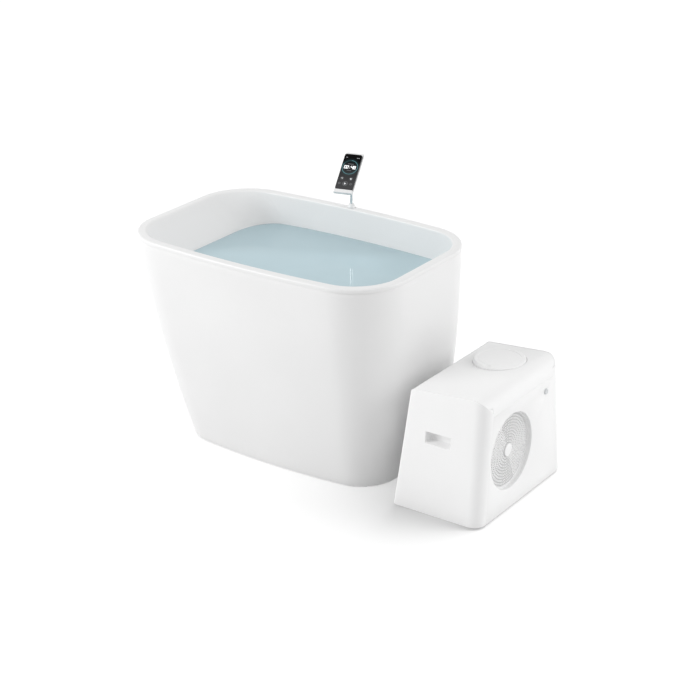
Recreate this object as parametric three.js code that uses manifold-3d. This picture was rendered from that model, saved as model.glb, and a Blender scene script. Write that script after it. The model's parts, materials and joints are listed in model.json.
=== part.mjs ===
// Cold plunge tub with a free-standing water chiller and a control handset on a rim post.
// Millimetres, +Z up. The origin is on the floor under the middle of the tub's rim.
// +X runs along the tub towards the chiller, +Y towards the rim that carries the handset.
import * as THREE from 'three';
import { mergeVertices } from 'three/addons/utils/BufferGeometryUtils.js';
import Module from 'manifold-3d';

const wasm = await Module();
wasm.setup();

// Fits: the gap between fixed neighbours, and the gap round anything that turns or slides.
const FIT = 0.4;
const RUN = 0.6;

// Tub
const TUB_HEIGHT = 768;
const RIM_LENGTH = 1100;
const RIM_WIDTH = 672;
const RIM_CORNER = 180;
const BASE_LENGTH = 862;
const BASE_WIDTH = 514;
const BASE_CORNER = 127;
const BASE_SHIFT = 79;
const SIDE_BOW = 35;
const WALL_BULGE = 17;
const WALL_DEPTH = 32;
const SHELL_WALL = 6;
const SHELL_FOOT = 3;
const BASIN_WALL = 5;
const FLOOR_HEIGHT = 70;
const FLOOR_ROUND = 60;
const BOARD_THICK = 15;
const LIP_DROP = 16;
const LIP_WALL = 4;
const LIP_PROUD = 2;
const RIM_SKIN = 5;
const CREST_ROUND = 7;
const WATER_LEVEL = 655;
const BACKREST_IN = 100;

// Tub fittings on the end wall that faces the chiller
const PORT_TUBE = 32;
const PORT_BORE = 24;
const PORT_FLANGE = 66;
const FLANGE_THICK = 5;
const PORT_NUT = 52;
const NUT_THICK = 16;
const THREAD_END = 14;
const PORT_Y = 40;
const SUCTION_Z = 175;
const RETURN_Z = 295;
const SUCTION_HOLE = 7;
const DRAIN_X = 350;
const DRAIN_Y = 150;
const DRAIN_Z = 42;
const STRAINER = 60;
const STRAINER_THICK = 4;
const STRAINER_NECK = 18;
const DRAIN_STUB = 20;
const VALVE_BODY = 46;
const VALVE_LENGTH = 58;
const VALVE_BALL = 34;
const VALVE_BOSS = 18;
const VALVE_STEM = 10;
const BOSS_RISE = 9;
const LEVER_LENGTH = 44;
const LEVER_WIDTH = 14;
const LEVER_THICK = 4;

// Rim post, cradle and handset
const POST_X = -15;
const POST = 12;
const POST_RISE = 146;
const POST_BASE = 30;
const POST_BASE_TOP = 18;
const POST_BASE_RISE = 14;
const KNUCKLE = 14;
const KNUCKLE_WIDTH = 16;
const PIN = 6;
const EAR_WALL = 5;
const EAR_ROUND = 8;
const CRADLE_LEAN = 50;
const CRADLE_TURN = 15;
const TRAY_WIDTH = 74;
const TRAY_LENGTH = 177;
const TRAY_THICK = 3;
const TRAY_STAND = 10;
const TRAY_BELOW = 114.5;
const TRAY_CORNER = 9;
const LEDGE_DEPTH = 9.6;
const LEDGE_THICK = 14;
const LEDGE_IN = 2;
const HANDSET_WIDTH = 68;
const HANDSET_LENGTH = 152;
const HANDSET_THICK = 7.4;
const HANDSET_CORNER = 9;
const GLASS_THICK = 1;
const GLASS_MARGIN = 1.2;
const KEY_LENGTH = 13;
const KEY_THICK = 2.6;
const KEY_DEPTH = 2.2;
const KEY_PROUD = 0.8;
const KEY_TRAVEL = 0.6;
const KEY_RISE = 96;

// Chiller casing
const CHILLER_GAP = 54;
const CHILLER_SHIFT = -7;
const CASE_DEPTH = 344;
const CASE_WIDTH = 582;
const CASE_FRONT_TOP = 457;
const CASE_BACK_TOP = 432;
const CASE_FOOT = 8;
const LEAN_FRONT = 8;
const LEAN_BACK = 40;
const LEAN_END = 46;
const CASE_CORNER = 45;
const BACK_CORNER = 16;
const FRONT_ROUND = 55;
const BACK_ROUND = 25;
const PANEL = 4;
const END_LIP = 0.6;
const SEAM_IN = 48;
const TOP_SEAM = 390;
const PAN_FLOOR = 10;
const PAN_WALL = 3;
const PAN_RISE = 24;
const FOOT = 32;
const FOOT_X = 115;
const FOOT_Y = 225;
const GRIP_WIDTH = 100;
const GRIP_HEIGHT = 42;
const GRIP_DEPTH = 34;
const GRIP_WALL = 3;
const GRIP_X = -10;
const GRIP_Z = 279;

// Chiller fan
const FAN_Y = -78;
const FAN_Z = 217;
const FAN_HOLE = 272;
const SHROUD_WALL = 6;
const SHROUD_BACK = 96;
const ROTOR = 254;
const ROTOR_HUB = 72;
const ROTOR_DEPTH = 36;
const ROTOR_GAP = 8;
const BLADES = 5;
const BLADE_THICK = 3;
const BLADE_CHORD_ROOT = 56;
const BLADE_CHORD_TIP = 78;
const BLADE_PITCH_ROOT = 34;
const BLADE_PITCH_TIP = 22;
const GRILLE_THICK = 3;
const GRILLE_SET_BACK = 10;
const GRILLE_ROWS = 4;
const GRILLE_BAR = 7;
const GRILLE_SPOKES = 6;
const HUB_CAP = 46;
const HUB_CAP_THICK = 5;
const FAN_SHAFT = 10;
const FAN_MOTOR = 80;
const FAN_MOTOR_LENGTH = 58;
const BRACKET_WIDTH = 90;
const BRACKET_THICK = 6;
const BRACKET_OVER = 52;

// Chiller filter
const FILTER_X = 9;
const FILTER_Y = 100;
const CAP = 184;
const CAP_TOP = 455;
const CAP_ROUND = 6;
const CAP_SKIRT = 18;
const CAP_NOTCH = 26;
const POT = 152;
const POT_WALL = 4;
const POT_FLANGE = 202;
const POT_FLANGE_THICK = 5;
const POT_FLOOR_Z = 230;
const CARTRIDGE = 116;
const CARTRIDGE_BORE = 44;
const CARTRIDGE_HEIGHT = 160;
const PLEATS = 24;
const PLEAT_DEPTH = 9;

// Chiller cooling circuit, pump and electrics
const CONDENSER_X = -85;
const CONDENSER_THICK = 30;
const CONDENSER_Y0 = -220;
const CONDENSER_Y1 = 35;
const CONDENSER_HEIGHT = 372;
const COMPRESSOR_X = -70;
const COMPRESSOR_Y = 200;
const COMPRESSOR = 110;
const COMPRESSOR_HEIGHT = 186;
const COMPRESSOR_PLATE = 132;
const PLATE_THICK = 4;
const MOUNT = 22;
const MOUNT_HEIGHT = 20;
const MOUNTS = 3;
const EVAPORATOR_X = -105;
const EVAPORATOR_Y = 95;
const EVAPORATOR_DEPTH = 60;
const EVAPORATOR_WIDTH = 40;
const EVAPORATOR_HEIGHT = 190;
const PUMP_X = 95;
const PUMP_Y = 100;
const PUMP_Z = 80;
const VOLUTE = 96;
const VOLUTE_DEPTH = 45;
const VOLUTE_WALL = 6;
const PUMP_EYE = 18;
const IMPELLER_GAP = 4;
const IMPELLER_SHAFT = 12;
const VANES = 6;
const PUMP_MOTOR = 76;
const PUMP_MOTOR_LENGTH = 98;
const PEDESTAL = 60;
const BOX_LENGTH = 120;
const BOX_DEPTH = 34;
const BOX_HEIGHT = 120;
const BOX_Y = -242;
const INLET_Y = -170;
const INLET_Z = 90;
const INLET_WIDTH = 48;
const INLET_HEIGHT = 28;
const INLET_FLANGE = 8;
const INLET_DEPTH = 26;
const BUTTON = 20;
const BUTTON_FLANGE = 28;
const BUTTON_Y = 150;
const BUTTON_Z = 350;
const BUTTON_PROUD = 4;
const BUTTON_TRAVEL = 2.5;
const WATER_PIPE = 18;
const GAS_PIPE = 10;
const INTAKE_Y = 55;
const OUTLET_Z = 160;
const FILTER_OUT_Z = 252;
const DISCHARGE_RISE = 34;
const DISCHARGE_Z = 305;
const LIQUID_Z = 58;
const SUCTION_LINE_Z = 150;
const SUCTION_LINE_X = -80;

// Facets
const ROUND_SIDES = 24;
const SMALL_SIDES = 12;
const PIPE_SIDES = 8;
const CORNER_STEPS = 5;
const LONG_STEPS = 7;
const SHORT_STEPS = 4;
const WALL_STEPS = 4;
const FILLET_STEPS = 4;
const CREST_STEPS = 2;
const ARC_STEPS = 6;
const FAR = 2000;

const lerp = THREE.MathUtils.lerp;
const rad = THREE.MathUtils.degToRad;

// A closed three.js geometry as a manifold solid.
function solid(geometry) {
  const bare = new THREE.BufferGeometry();
  const loose = geometry.index ? geometry.toNonIndexed() : geometry;
  bare.setAttribute('position', loose.getAttribute('position').clone());
  const merged = mergeVertices(bare, 1e-3);
  const kept = [];
  const index = merged.index.array;
  for (let i = 0; i < index.length; i += 3) {
    const [a, b, c] = [index[i], index[i + 1], index[i + 2]];
    if (a !== b && b !== c && c !== a) kept.push(a, b, c);
  }
  const vertProperties = merged.attributes.position.array;
  const triVerts = Uint32Array.from(kept);
  return new wasm.Manifold(new wasm.Mesh({ numProp: 3, vertProperties, triVerts }));
}

function geometryOf(body) {
  const mesh = body.getMesh();
  const geometry = new THREE.BufferGeometry();
  geometry.setAttribute('position', new THREE.BufferAttribute(mesh.vertProperties, 3));
  geometry.setIndex(new THREE.BufferAttribute(mesh.triVerts, 1));
  geometry.computeVertexNormals();
  return geometry;
}

function union(...bodies) {
  return bodies.reduce((whole, body) => whole.add(body));
}

// Rings of points, joined in order. A loop of rings is an endless tube, and other lofts get flat caps.
function loft(rings, loop = false) {
  const count = rings[0].length;
  const corners = [];
  const spans = loop ? rings.length : rings.length - 1;
  for (let k = 0; k < spans; k += 1) {
    const low = rings[k];
    const high = rings[(k + 1) % rings.length];
    // Rising and falling spans share one diagonal, so that nested walls keep an even gap.
    const falling = high[0].z < low[0].z;
    for (let i = 0; i < count; i += 1) {
      const j = (i + 1) % count;
      if (falling) corners.push(low[i], low[j], high[i], low[j], high[j], high[i]);
      else corners.push(low[i], low[j], high[j], low[i], high[j], high[i]);
    }
  }
  if (!loop) {
    const first = rings[0];
    const last = rings[rings.length - 1];
    const middle = (ring) => ring.reduce((sum, p) => sum.add(p), new THREE.Vector3()).divideScalar(count);
    const under = middle(first);
    const over = middle(last);
    for (let i = 0; i < count; i += 1) {
      const j = (i + 1) % count;
      corners.push(under, first[j], first[i], over, last[i], last[j]);
    }
  }
  return solid(new THREE.BufferGeometry().setFromPoints(corners));
}

function box(x0, x1, y0, y1, z0, z1) {
  const geometry = new THREE.BoxGeometry(x1 - x0, y1 - y0, z1 - z0);
  geometry.translate((x0 + x1) / 2, (y0 + y1) / 2, (z0 + z1) / 2);
  return solid(geometry);
}

// Round bars along one axis, given by diameter and the two ends.
function barX(diameter, x0, x1, y, z, sides = ROUND_SIDES) {
  const geometry = new THREE.CylinderGeometry(diameter / 2, diameter / 2, x1 - x0, sides);
  geometry.rotateZ(-Math.PI / 2).translate((x0 + x1) / 2, y, z);
  return solid(geometry);
}

function barY(diameter, y0, y1, x, z, sides = ROUND_SIDES) {
  const geometry = new THREE.CylinderGeometry(diameter / 2, diameter / 2, y1 - y0, sides);
  return solid(geometry.translate(x, (y0 + y1) / 2, z));
}

function barZ(diameter, z0, z1, x, y, sides = ROUND_SIDES) {
  const geometry = new THREE.CylinderGeometry(diameter / 2, diameter / 2, z1 - z0, sides);
  geometry.rotateX(Math.PI / 2).translate(x, y, (z0 + z1) / 2);
  return solid(geometry);
}

// A profile of [radius, height] points turned round a vertical axis.
function turned(profile, x, y, sides = ROUND_SIDES) {
  const points = profile.map(([r, z]) => new THREE.Vector2(r, z));
  const geometry = new THREE.LatheGeometry(points, sides);
  return solid(geometry.rotateX(Math.PI / 2).translate(x, y, 0));
}

function outline(points) {
  return new THREE.Shape(points.map(([u, v]) => new THREE.Vector2(u, v)));
}

// A flat outline of [x, z] points, drawn out along Y.
function prismY(points, y0, y1) {
  const geometry = new THREE.ExtrudeGeometry(outline(points), { depth: y1 - y0, bevelEnabled: false });
  return solid(geometry.rotateX(Math.PI / 2).translate(0, y1, 0));
}

// A flat outline of [y, z] points, drawn out along X.
function prismX(points, x0, x1) {
  const geometry = new THREE.ExtrudeGeometry(outline(points), { depth: x1 - x0, bevelEnabled: false });
  return solid(geometry.rotateX(Math.PI / 2).rotateZ(Math.PI / 2).translate(x0, 0, 0));
}

// A plate in the XY plane with rounded corners.
function roundedPlate(x0, x1, y0, y1, corner, z0, z1) {
  const shape = new THREE.Shape();
  shape.moveTo(x0 + corner, y0);
  shape.lineTo(x1 - corner, y0);
  shape.absarc(x1 - corner, y0 + corner, corner, -Math.PI / 2, 0);
  shape.lineTo(x1, y1 - corner);
  shape.absarc(x1 - corner, y1 - corner, corner, 0, Math.PI / 2);
  shape.lineTo(x0 + corner, y1);
  shape.absarc(x0 + corner, y1 - corner, corner, Math.PI / 2, Math.PI);
  shape.lineTo(x0, y0 + corner);
  shape.absarc(x0 + corner, y0 + corner, corner, Math.PI, 1.5 * Math.PI);
  const geometry = new THREE.ExtrudeGeometry(shape, {
    depth: z1 - z0,
    bevelEnabled: false,
    curveSegments: CORNER_STEPS,
  });
  return solid(geometry.translate(0, 0, z0));
}

// A round pipe through a few points, with a bend wherever the points turn.
function pipe(diameter, points, steps) {
  const curve = new THREE.CatmullRomCurve3(points.map((p) => new THREE.Vector3(...p)), false, 'centripetal');
  const section = new THREE.Shape();
  section.absarc(0, 0, diameter / 2, 0, 2 * Math.PI);
  const geometry = new THREE.ExtrudeGeometry(section, {
    steps,
    curveSegments: PIPE_SIDES / 2,
    extrudePath: curve,
    bevelEnabled: false,
  });
  const body = solid(geometry);
  return body.volume() > 0 ? body : solid(flipped(geometry));
}

function flipped(geometry) {
  const loose = geometry.index ? geometry.toNonIndexed() : geometry;
  const position = loose.getAttribute('position');
  const corners = [];
  for (let i = 0; i < position.count; i += 3) {
    for (const k of [i, i + 2, i + 1]) corners.push(new THREE.Vector3().fromBufferAttribute(position, k));
  }
  return new THREE.BufferGeometry().setFromPoints(corners);
}

function finish(color, roughness, metalness = 0) {
  return () => new THREE.MeshStandardMaterial({ color, roughness, metalness });
}

const WHITE_GLOSS = finish(0xf4f5f6, 0.25);
const WHITE_CASE = finish(0xf7f8f8, 0.45);
const FOAM = finish(0xe8dcae, 0.9);
const BOARD = finish(0x3c3f42, 0.7);
const GREY_PLASTIC = finish(0x9aa0a5, 0.5);
const DARK_PLASTIC = finish(0x2a2c2f, 0.5);
const RUBBER = finish(0x1c1d1e, 0.85);
const CHROME = finish(0xdfe3e6, 0.08, 1);
const STEEL = finish(0xb4b9bd, 0.35, 1);
const ALUMINIUM = finish(0xc6cacd, 0.4, 1);
const COPPER = finish(0xb87347, 0.35, 1);
const BLACK_PAINT = finish(0x222426, 0.5);
const SCREEN = finish(0x0b0d10, 0.06);
const PAPER = finish(0xe6eef2, 0.9);
const BLUE_PLASTIC = finish(0x3f6f8f, 0.45);

const set = new THREE.Group();
const chiller = new THREE.Group();
const swivel = new THREE.Group();
const cradle = new THREE.Group();
set.add(chiller, swivel);
swivel.add(cradle);

function piece(name, body, material, group = set) {
  const mesh = new THREE.Mesh(geometryOf(body), material());
  mesh.name = name;
  group.add(mesh);
  return mesh;
}

// The tub's outline at one height, moved in from the outer face by an inset.
// Its sides lean from the base to the rim and swell a little in between.
function tubSize(z, inset) {
  const t = z / TUB_HEIGHT;
  const swell = WALL_BULGE * 4 * t * (1 - t) - inset;
  return {
    centre: BASE_SHIFT * (1 - t),
    halfLength: lerp(BASE_LENGTH, RIM_LENGTH, t) / 2 + swell,
    halfWidth: lerp(BASE_WIDTH, RIM_WIDTH, t) / 2 + swell,
    corner: lerp(BASE_CORNER, RIM_CORNER, t) + swell,
  };
}

// Points round a rectangle with round corners, anticlockwise from the +X side.
function roundedRing(halfX, halfY, corner, longSteps, shortSteps, cornerSteps) {
  const points = [];
  const x = halfX - corner;
  const y = halfY - corner;
  const sides = [[halfX, -y, halfX, y, shortSteps], [x, halfY, -x, halfY, longSteps],
    [-halfX, y, -halfX, -y, shortSteps], [-x, -halfY, x, -halfY, longSteps]];
  const centres = [[x, y], [-x, y], [-x, -y], [x, -y]];
  sides.forEach(([x0, y0, x1, y1, steps], side) => {
    for (let i = 0; i < steps; i += 1) points.push([lerp(x0, x1, i / steps), lerp(y0, y1, i / steps)]);
    for (let i = 0; i < cornerSteps; i += 1) {
      const angle = (side + i / cornerSteps) * Math.PI / 2;
      const [cx, cy] = centres[side];
      points.push([cx + corner * Math.cos(angle), cy + corner * Math.sin(angle)]);
    }
  });
  return points;
}

// Below the rim, the basin's far end comes further in, as a sloping back rest.
function tubRing(inset, z, backrest = 0) {
  const { centre, halfLength, halfWidth, corner } = tubSize(z, inset);
  const ring = roundedRing(halfLength, halfWidth, corner, LONG_STEPS, SHORT_STEPS, CORNER_STEPS);
  const slope = backrest * Math.min(1, (TUB_HEIGHT - z) / (TUB_HEIGHT - WATER_LEVEL));
  return ring.map(([x, y]) => {
    const bow = SIDE_BOW * (1 - (x / halfLength) ** 2);
    const push = slope * Math.max(0, -x / halfLength) ** 2;
    return new THREE.Vector3(centre + x + push, y + Math.sign(y) * bow, z);
  });
}

// The x of the end wall that faces the chiller.
function endWall(z, inset) {
  const { centre, halfLength } = tubSize(z, inset);
  return centre + halfLength;
}

// Heights that the three wall layers share, so that their facets run side by side.
const FILLET_CENTRE = FLOOR_HEIGHT + FLOOR_ROUND;
const REBATE_LOW = TUB_HEIGHT - LIP_DROP - FIT;
const UNDER_RIM = TUB_HEIGHT - RIM_SKIN;
const WALL_LEVELS = [];
for (let i = 0; i <= WALL_STEPS; i += 1) WALL_LEVELS.push(lerp(FILLET_CENTRE, WATER_LEVEL, i / WALL_STEPS));
WALL_LEVELS.push(REBATE_LOW);

const levels = (inset, heights) => heights.map((z) => tubRing(inset, z));
const basinLevels = (inset, heights) => heights.map((z) => tubRing(inset, z, BACKREST_IN));
const reversed = (heights) => [...heights].reverse();

// A quarter round between wall and floor, from the wall down or from the floor up.
function floorRound(radius, fromWall) {
  const rings = [];
  for (let i = 1; i <= FILLET_STEPS; i += 1) {
    const angle = (i / FILLET_STEPS) * Math.PI / 2;
    const inset = WALL_DEPTH + FLOOR_ROUND - radius * Math.cos(angle);
    rings.push(tubRing(inset, FILLET_CENTRE - radius * Math.sin(angle), BACKREST_IN));
  }
  return fromWall ? rings : rings.reverse();
}

// Tub walls
const FOAM_OUT = SHELL_WALL + FIT;
const BASIN_OUT = WALL_DEPTH - BASIN_WALL;
const FOAM_IN = BASIN_OUT - FIT;
const LIP_IN = LIP_WALL - LIP_PROUD;
const FOAM_FOOT = BOARD_THICK + FIT;
const WALL_TOP = UNDER_RIM - FIT;

function shellBody() {
  const rings = [
    tubRing(0, SHELL_FOOT),
    ...levels(0, WALL_LEVELS),
    tubRing(LIP_IN + FIT, REBATE_LOW),
    tubRing(LIP_IN + FIT, WALL_TOP),
    tubRing(SHELL_WALL, WALL_TOP),
    ...levels(SHELL_WALL, reversed(WALL_LEVELS)),
    tubRing(SHELL_WALL, SHELL_FOOT),
  ];
  return loft(rings, true);
}

function foamBody() {
  const rings = [
    tubRing(FOAM_OUT, FOAM_FOOT),
    ...levels(FOAM_OUT, WALL_LEVELS),
    tubRing(FOAM_OUT, WALL_TOP),
    tubRing(FOAM_IN, WALL_TOP, BACKREST_IN),
    ...basinLevels(FOAM_IN, reversed(WALL_LEVELS)),
    ...floorRound(FLOOR_ROUND + BASIN_WALL + FIT, true),
  ];
  return loft(rings);
}

// The rim's rounded edge: up the outer face and in, or out of the rim and down the inner face.
function crest(face, outside) {
  const rings = [];
  for (let i = 0; i <= CREST_STEPS; i += 1) {
    const angle = (i / CREST_STEPS) * Math.PI / 2;
    const setIn = CREST_ROUND * (1 - Math.cos(angle));
    const inset = outside ? face + setIn : face - setIn;
    const z = TUB_HEIGHT - CREST_ROUND + CREST_ROUND * Math.sin(angle);
    rings.push(tubRing(inset, z, outside ? 0 : BACKREST_IN));
  }
  return outside ? rings : rings.reverse();
}

function basinBody() {
  const rings = [
    ...floorRound(FLOOR_ROUND + BASIN_WALL, false),
    ...basinLevels(BASIN_OUT, WALL_LEVELS),
    tubRing(BASIN_OUT, UNDER_RIM, BACKREST_IN),
    tubRing(LIP_IN, UNDER_RIM),
    tubRing(LIP_IN, TUB_HEIGHT - LIP_DROP),
    tubRing(-LIP_PROUD, TUB_HEIGHT - LIP_DROP),
    ...crest(-LIP_PROUD, true),
    ...crest(WALL_DEPTH, false),
    ...basinLevels(WALL_DEPTH, reversed(WALL_LEVELS)),
    ...floorRound(FLOOR_ROUND, true),
  ];
  return loft(rings);
}

const PORTS = [SUCTION_Z, RETURN_Z];
const portHole = (z) => barX(PORT_TUBE + 2 * FIT, 0, FAR, PORT_Y, z, SMALL_SIDES);
const drainRun = (grow) => union(
  barZ(PORT_TUBE + grow, DRAIN_Z - (PORT_TUBE + grow) / 2, FLOOR_HEIGHT - FIT + grow, DRAIN_X, DRAIN_Y, SMALL_SIDES),
  barX(PORT_TUBE + grow, DRAIN_X, FAR, DRAIN_Y, DRAIN_Z, SMALL_SIDES),
);
const wallHoles = union(...PORTS.map(portHole), drainRun(2 * FIT));

piece('outer_shell', shellBody().subtract(wallHoles), WHITE_GLOSS);
piece('insulation_core', foamBody().subtract(wallHoles), FOAM);
piece('inner_basin', basinBody().subtract(wallHoles), WHITE_GLOSS);
piece('base_board', loft([tubRing(FOAM_OUT, 0), tubRing(FOAM_OUT, BOARD_THICK)]), BOARD);

// Wall fittings: a flanged tube from inside, locked by a nut outside.
function wallFitting(z, cover) {
  const flangeFace = endWall(z - PORT_FLANGE / 2, WALL_DEPTH) - FIT;
  const nutFace = endWall(z + PORT_NUT / 2, 0) + FIT;
  const tubeEnd = nutFace + NUT_THICK + THREAD_END;
  const flange = barX(PORT_FLANGE, flangeFace - FLANGE_THICK, flangeFace, PORT_Y, z);
  const tube = barX(PORT_TUBE, flangeFace - FLANGE_THICK, tubeEnd, PORT_Y, z, SMALL_SIDES);
  const boreFrom = cover ? flangeFace : flangeFace - 2 * FLANGE_THICK;
  const bore = barX(PORT_BORE, boreFrom, tubeEnd + NUT_THICK, PORT_Y, z, SMALL_SIDES);
  let fitting = flange.add(tube).subtract(bore);
  if (cover) {
    for (let i = 0; i < 5; i += 1) {
      const angle = (i / 5) * 2 * Math.PI;
      const reach = (PORT_BORE - SUCTION_HOLE) / 2 - FIT;
      const y = PORT_Y + reach * Math.cos(angle);
      const holeZ = z + reach * Math.sin(angle);
      fitting = fitting.subtract(barX(SUCTION_HOLE, flangeFace - FAR / 10, flangeFace + FIT, y, holeZ, 6));
    }
  }
  const nut = barX(PORT_NUT, nutFace, nutFace + NUT_THICK, PORT_Y, z, 6);
  const thread = barX(PORT_TUBE + 2 * FIT, nutFace - FIT, nutFace + NUT_THICK + FIT, PORT_Y, z, SMALL_SIDES);
  return [fitting, nut.subtract(thread)];
}

const [suctionFitting, suctionNut] = wallFitting(SUCTION_Z, true);
const [returnFitting, returnNut] = wallFitting(RETURN_Z, false);
piece('suction_fitting', suctionFitting, WHITE_GLOSS);
piece('suction_nut', suctionNut, GREY_PLASTIC);
piece('return_fitting', returnFitting, WHITE_GLOSS);
piece('return_nut', returnNut, GREY_PLASTIC);

// Drain: a strainer in the floor, a pipe under the floor and a quarter-turn valve outside.
const VALVE_X0 = endWall(DRAIN_Z + VALVE_BODY / 2, 0) + FIT;
const VALVE_X1 = VALVE_X0 + VALVE_LENGTH;
const STUB_END = VALVE_X0 + DRAIN_STUB;
const BALL_X = STUB_END + FIT + RUN + VALVE_BALL / 2;
const BOSS_TOP = DRAIN_Z + VALVE_BODY / 2 + BOSS_RISE;
const NECK = PORT_BORE - 2 * FIT;

function drainPipe() {
  const run = drainRun(0).intersect(box(-FAR, STUB_END, -FAR, FAR, -FAR, FAR));
  const down = barZ(PORT_BORE, DRAIN_Z, FLOOR_HEIGHT + FAR, DRAIN_X, DRAIN_Y, SMALL_SIDES);
  const along = barX(PORT_BORE, DRAIN_X, FAR, DRAIN_Y, DRAIN_Z, SMALL_SIDES);
  return run.subtract(down).subtract(along);
}

function strainer() {
  const low = FLOOR_HEIGHT + FIT;
  const disc = barZ(STRAINER, low, low + STRAINER_THICK, DRAIN_X, DRAIN_Y);
  const neck = barZ(NECK, low - STRAINER_NECK, low + STRAINER_THICK, DRAIN_X, DRAIN_Y, SMALL_SIDES);
  const bore = barZ(NECK - STRAINER_THICK, low - FAR / 10, low, DRAIN_X, DRAIN_Y, SMALL_SIDES);
  let body = disc.add(neck).subtract(bore);
  for (let i = 0; i < 6; i += 1) {
    const angle = (i / 6) * 2 * Math.PI;
    const reach = NECK / 4;
    const x = DRAIN_X + reach * Math.cos(angle);
    const y = DRAIN_Y + reach * Math.sin(angle);
    body = body.subtract(barZ(reach * 0.7, low - FAR / 10, FAR / 10, x, y, 6));
  }
  return body;
}

function valveBody() {
  const bar = barX(VALVE_BODY, VALVE_X0, VALVE_X1, DRAIN_Y, DRAIN_Z);
  const boss = barZ(VALVE_BOSS, DRAIN_Z, BOSS_TOP, BALL_X, DRAIN_Y, SMALL_SIDES);
  const socket = barX(PORT_TUBE + 2 * FIT, VALVE_X0 - FIT, STUB_END + FIT, DRAIN_Y, DRAIN_Z, SMALL_SIDES);
  const chamberEnd = BALL_X + VALVE_BALL / 2 + RUN;
  const chamber = barX(VALVE_BALL + 4 * RUN, STUB_END, chamberEnd, DRAIN_Y, DRAIN_Z);
  const outlet = barX(PORT_BORE, chamberEnd - RUN, VALVE_X1 + FIT, DRAIN_Y, DRAIN_Z, SMALL_SIDES);
  const stem = barZ(VALVE_STEM + 2 * RUN, DRAIN_Z, BOSS_TOP + FIT, BALL_X, DRAIN_Y, SMALL_SIDES);
  return bar.add(boss).subtract(union(socket, chamber, outlet, stem));
}

const LEVER_Z = BOSS_TOP + RUN;
function valveBall() {
  const ball = new THREE.SphereGeometry(VALVE_BALL / 2, SMALL_SIDES, 10);
  const stem = barZ(VALVE_STEM, DRAIN_Z + VALVE_BALL / 4, LEVER_Z - FIT, BALL_X, DRAIN_Y, SMALL_SIDES);
  const bore = barY(PORT_BORE * 0.75, DRAIN_Y - VALVE_BALL, DRAIN_Y + VALVE_BALL, BALL_X, DRAIN_Z, SMALL_SIDES);
  return solid(ball.translate(BALL_X, DRAIN_Y, DRAIN_Z)).subtract(bore).add(stem);
}

function valveLever() {
  const half = LEVER_WIDTH / 2;
  const top = LEVER_Z + LEVER_THICK;
  const plate = roundedPlate(-half, half, -half, LEVER_LENGTH, half * 0.9, LEVER_Z, top);
  return plate.translate([BALL_X, DRAIN_Y, 0]);
}

piece('drain_strainer', strainer(), STEEL);
piece('drain_pipe', drainPipe(), GREY_PLASTIC);
piece('drain_valve_body', valveBody(), GREY_PLASTIC);
piece('drain_valve_ball', valveBall(), STEEL);
piece('drain_valve_lever', valveLever(), BLUE_PLASTIC);

// Post on the middle of the rim's crest
const POST_Y = RIM_WIDTH / 2 + SIDE_BOW * (1 - (2 * POST_X / RIM_LENGTH) ** 2) - (WALL_DEPTH - LIP_PROUD) / 2;
const TILT_Z = TUB_HEIGHT + POST_RISE;

function postBase() {
  const low = TUB_HEIGHT + FIT;
  const high = low + POST_BASE_RISE;
  const bore = POST / 2 + RUN;
  const edge = POST_BASE_RISE / 4;
  const profile = [[bore, low], [POST_BASE / 2, low], [POST_BASE / 2, low + edge],
    [POST_BASE_TOP / 2, high], [bore, high], [bore, low]];
  return turned(profile, POST_X, POST_Y, SMALL_SIDES);
}

// The swivel's own origin is on the tilt pin, and its X runs along the pin.
swivel.position.set(POST_X, POST_Y, TILT_Z);
swivel.rotation.z = rad(CRADLE_TURN);

function post() {
  const rod = barZ(POST, TUB_HEIGHT + FIT - TILT_Z, 0, 0, 0, SMALL_SIDES);
  const half = KNUCKLE_WIDTH / 2;
  const knuckle = barX(KNUCKLE, -half, half, 0, 0, SMALL_SIDES);
  const bore = barX(PIN + 2 * RUN, -KNUCKLE_WIDTH, KNUCKLE_WIDTH, 0, 0, SMALL_SIDES);
  return rod.add(knuckle).subtract(bore);
}

piece('post_base', postBase(), WHITE_GLOSS);
piece('display_post', post(), CHROME, swivel);

// Cradle: its own X along the pin, Y up the tray and Z out of the tray's face.
cradle.rotation.x = rad(90 - CRADLE_LEAN);
const TRAY_FACE = TRAY_STAND + TRAY_THICK;
const EAR_X = KNUCKLE_WIDTH / 2 + RUN;
const HANDSET_FOOT = LEDGE_THICK - TRAY_BELOW + FIT;
const HANDSET_FACE = TRAY_FACE + FIT + HANDSET_THICK;

function tray() {
  const half = TRAY_WIDTH / 2;
  const top = TRAY_LENGTH - TRAY_BELOW;
  const plate = roundedPlate(-half, half, -TRAY_BELOW, top, TRAY_CORNER, TRAY_STAND, TRAY_FACE);
  const ledgeEnd = half - LEDGE_IN;
  const ledge = box(-ledgeEnd, ledgeEnd, -TRAY_BELOW, LEDGE_THICK - TRAY_BELOW, TRAY_STAND, TRAY_FACE + LEDGE_DEPTH);
  const parts = [plate, ledge];
  for (const side of [-1, 1]) {
    const x0 = Math.min(side * EAR_X, side * (EAR_X + EAR_WALL));
    parts.push(barX(2 * EAR_ROUND, x0, x0 + EAR_WALL, 0, 0, SMALL_SIDES));
    parts.push(box(x0, x0 + EAR_WALL, -EAR_ROUND, EAR_ROUND, 0, TRAY_STAND + TRAY_THICK / 2));
  }
  const hole = barX(PIN + 2 * FIT, -TRAY_WIDTH, TRAY_WIDTH, 0, 0, SMALL_SIDES);
  return union(...parts).subtract(hole);
}

const KEY_Y = HANDSET_FOOT + KEY_RISE;
const KEY_Z = TRAY_FACE + FIT + HANDSET_THICK / 2;
const KEY_OUT = HANDSET_WIDTH / 2 + KEY_PROUD;

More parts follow.
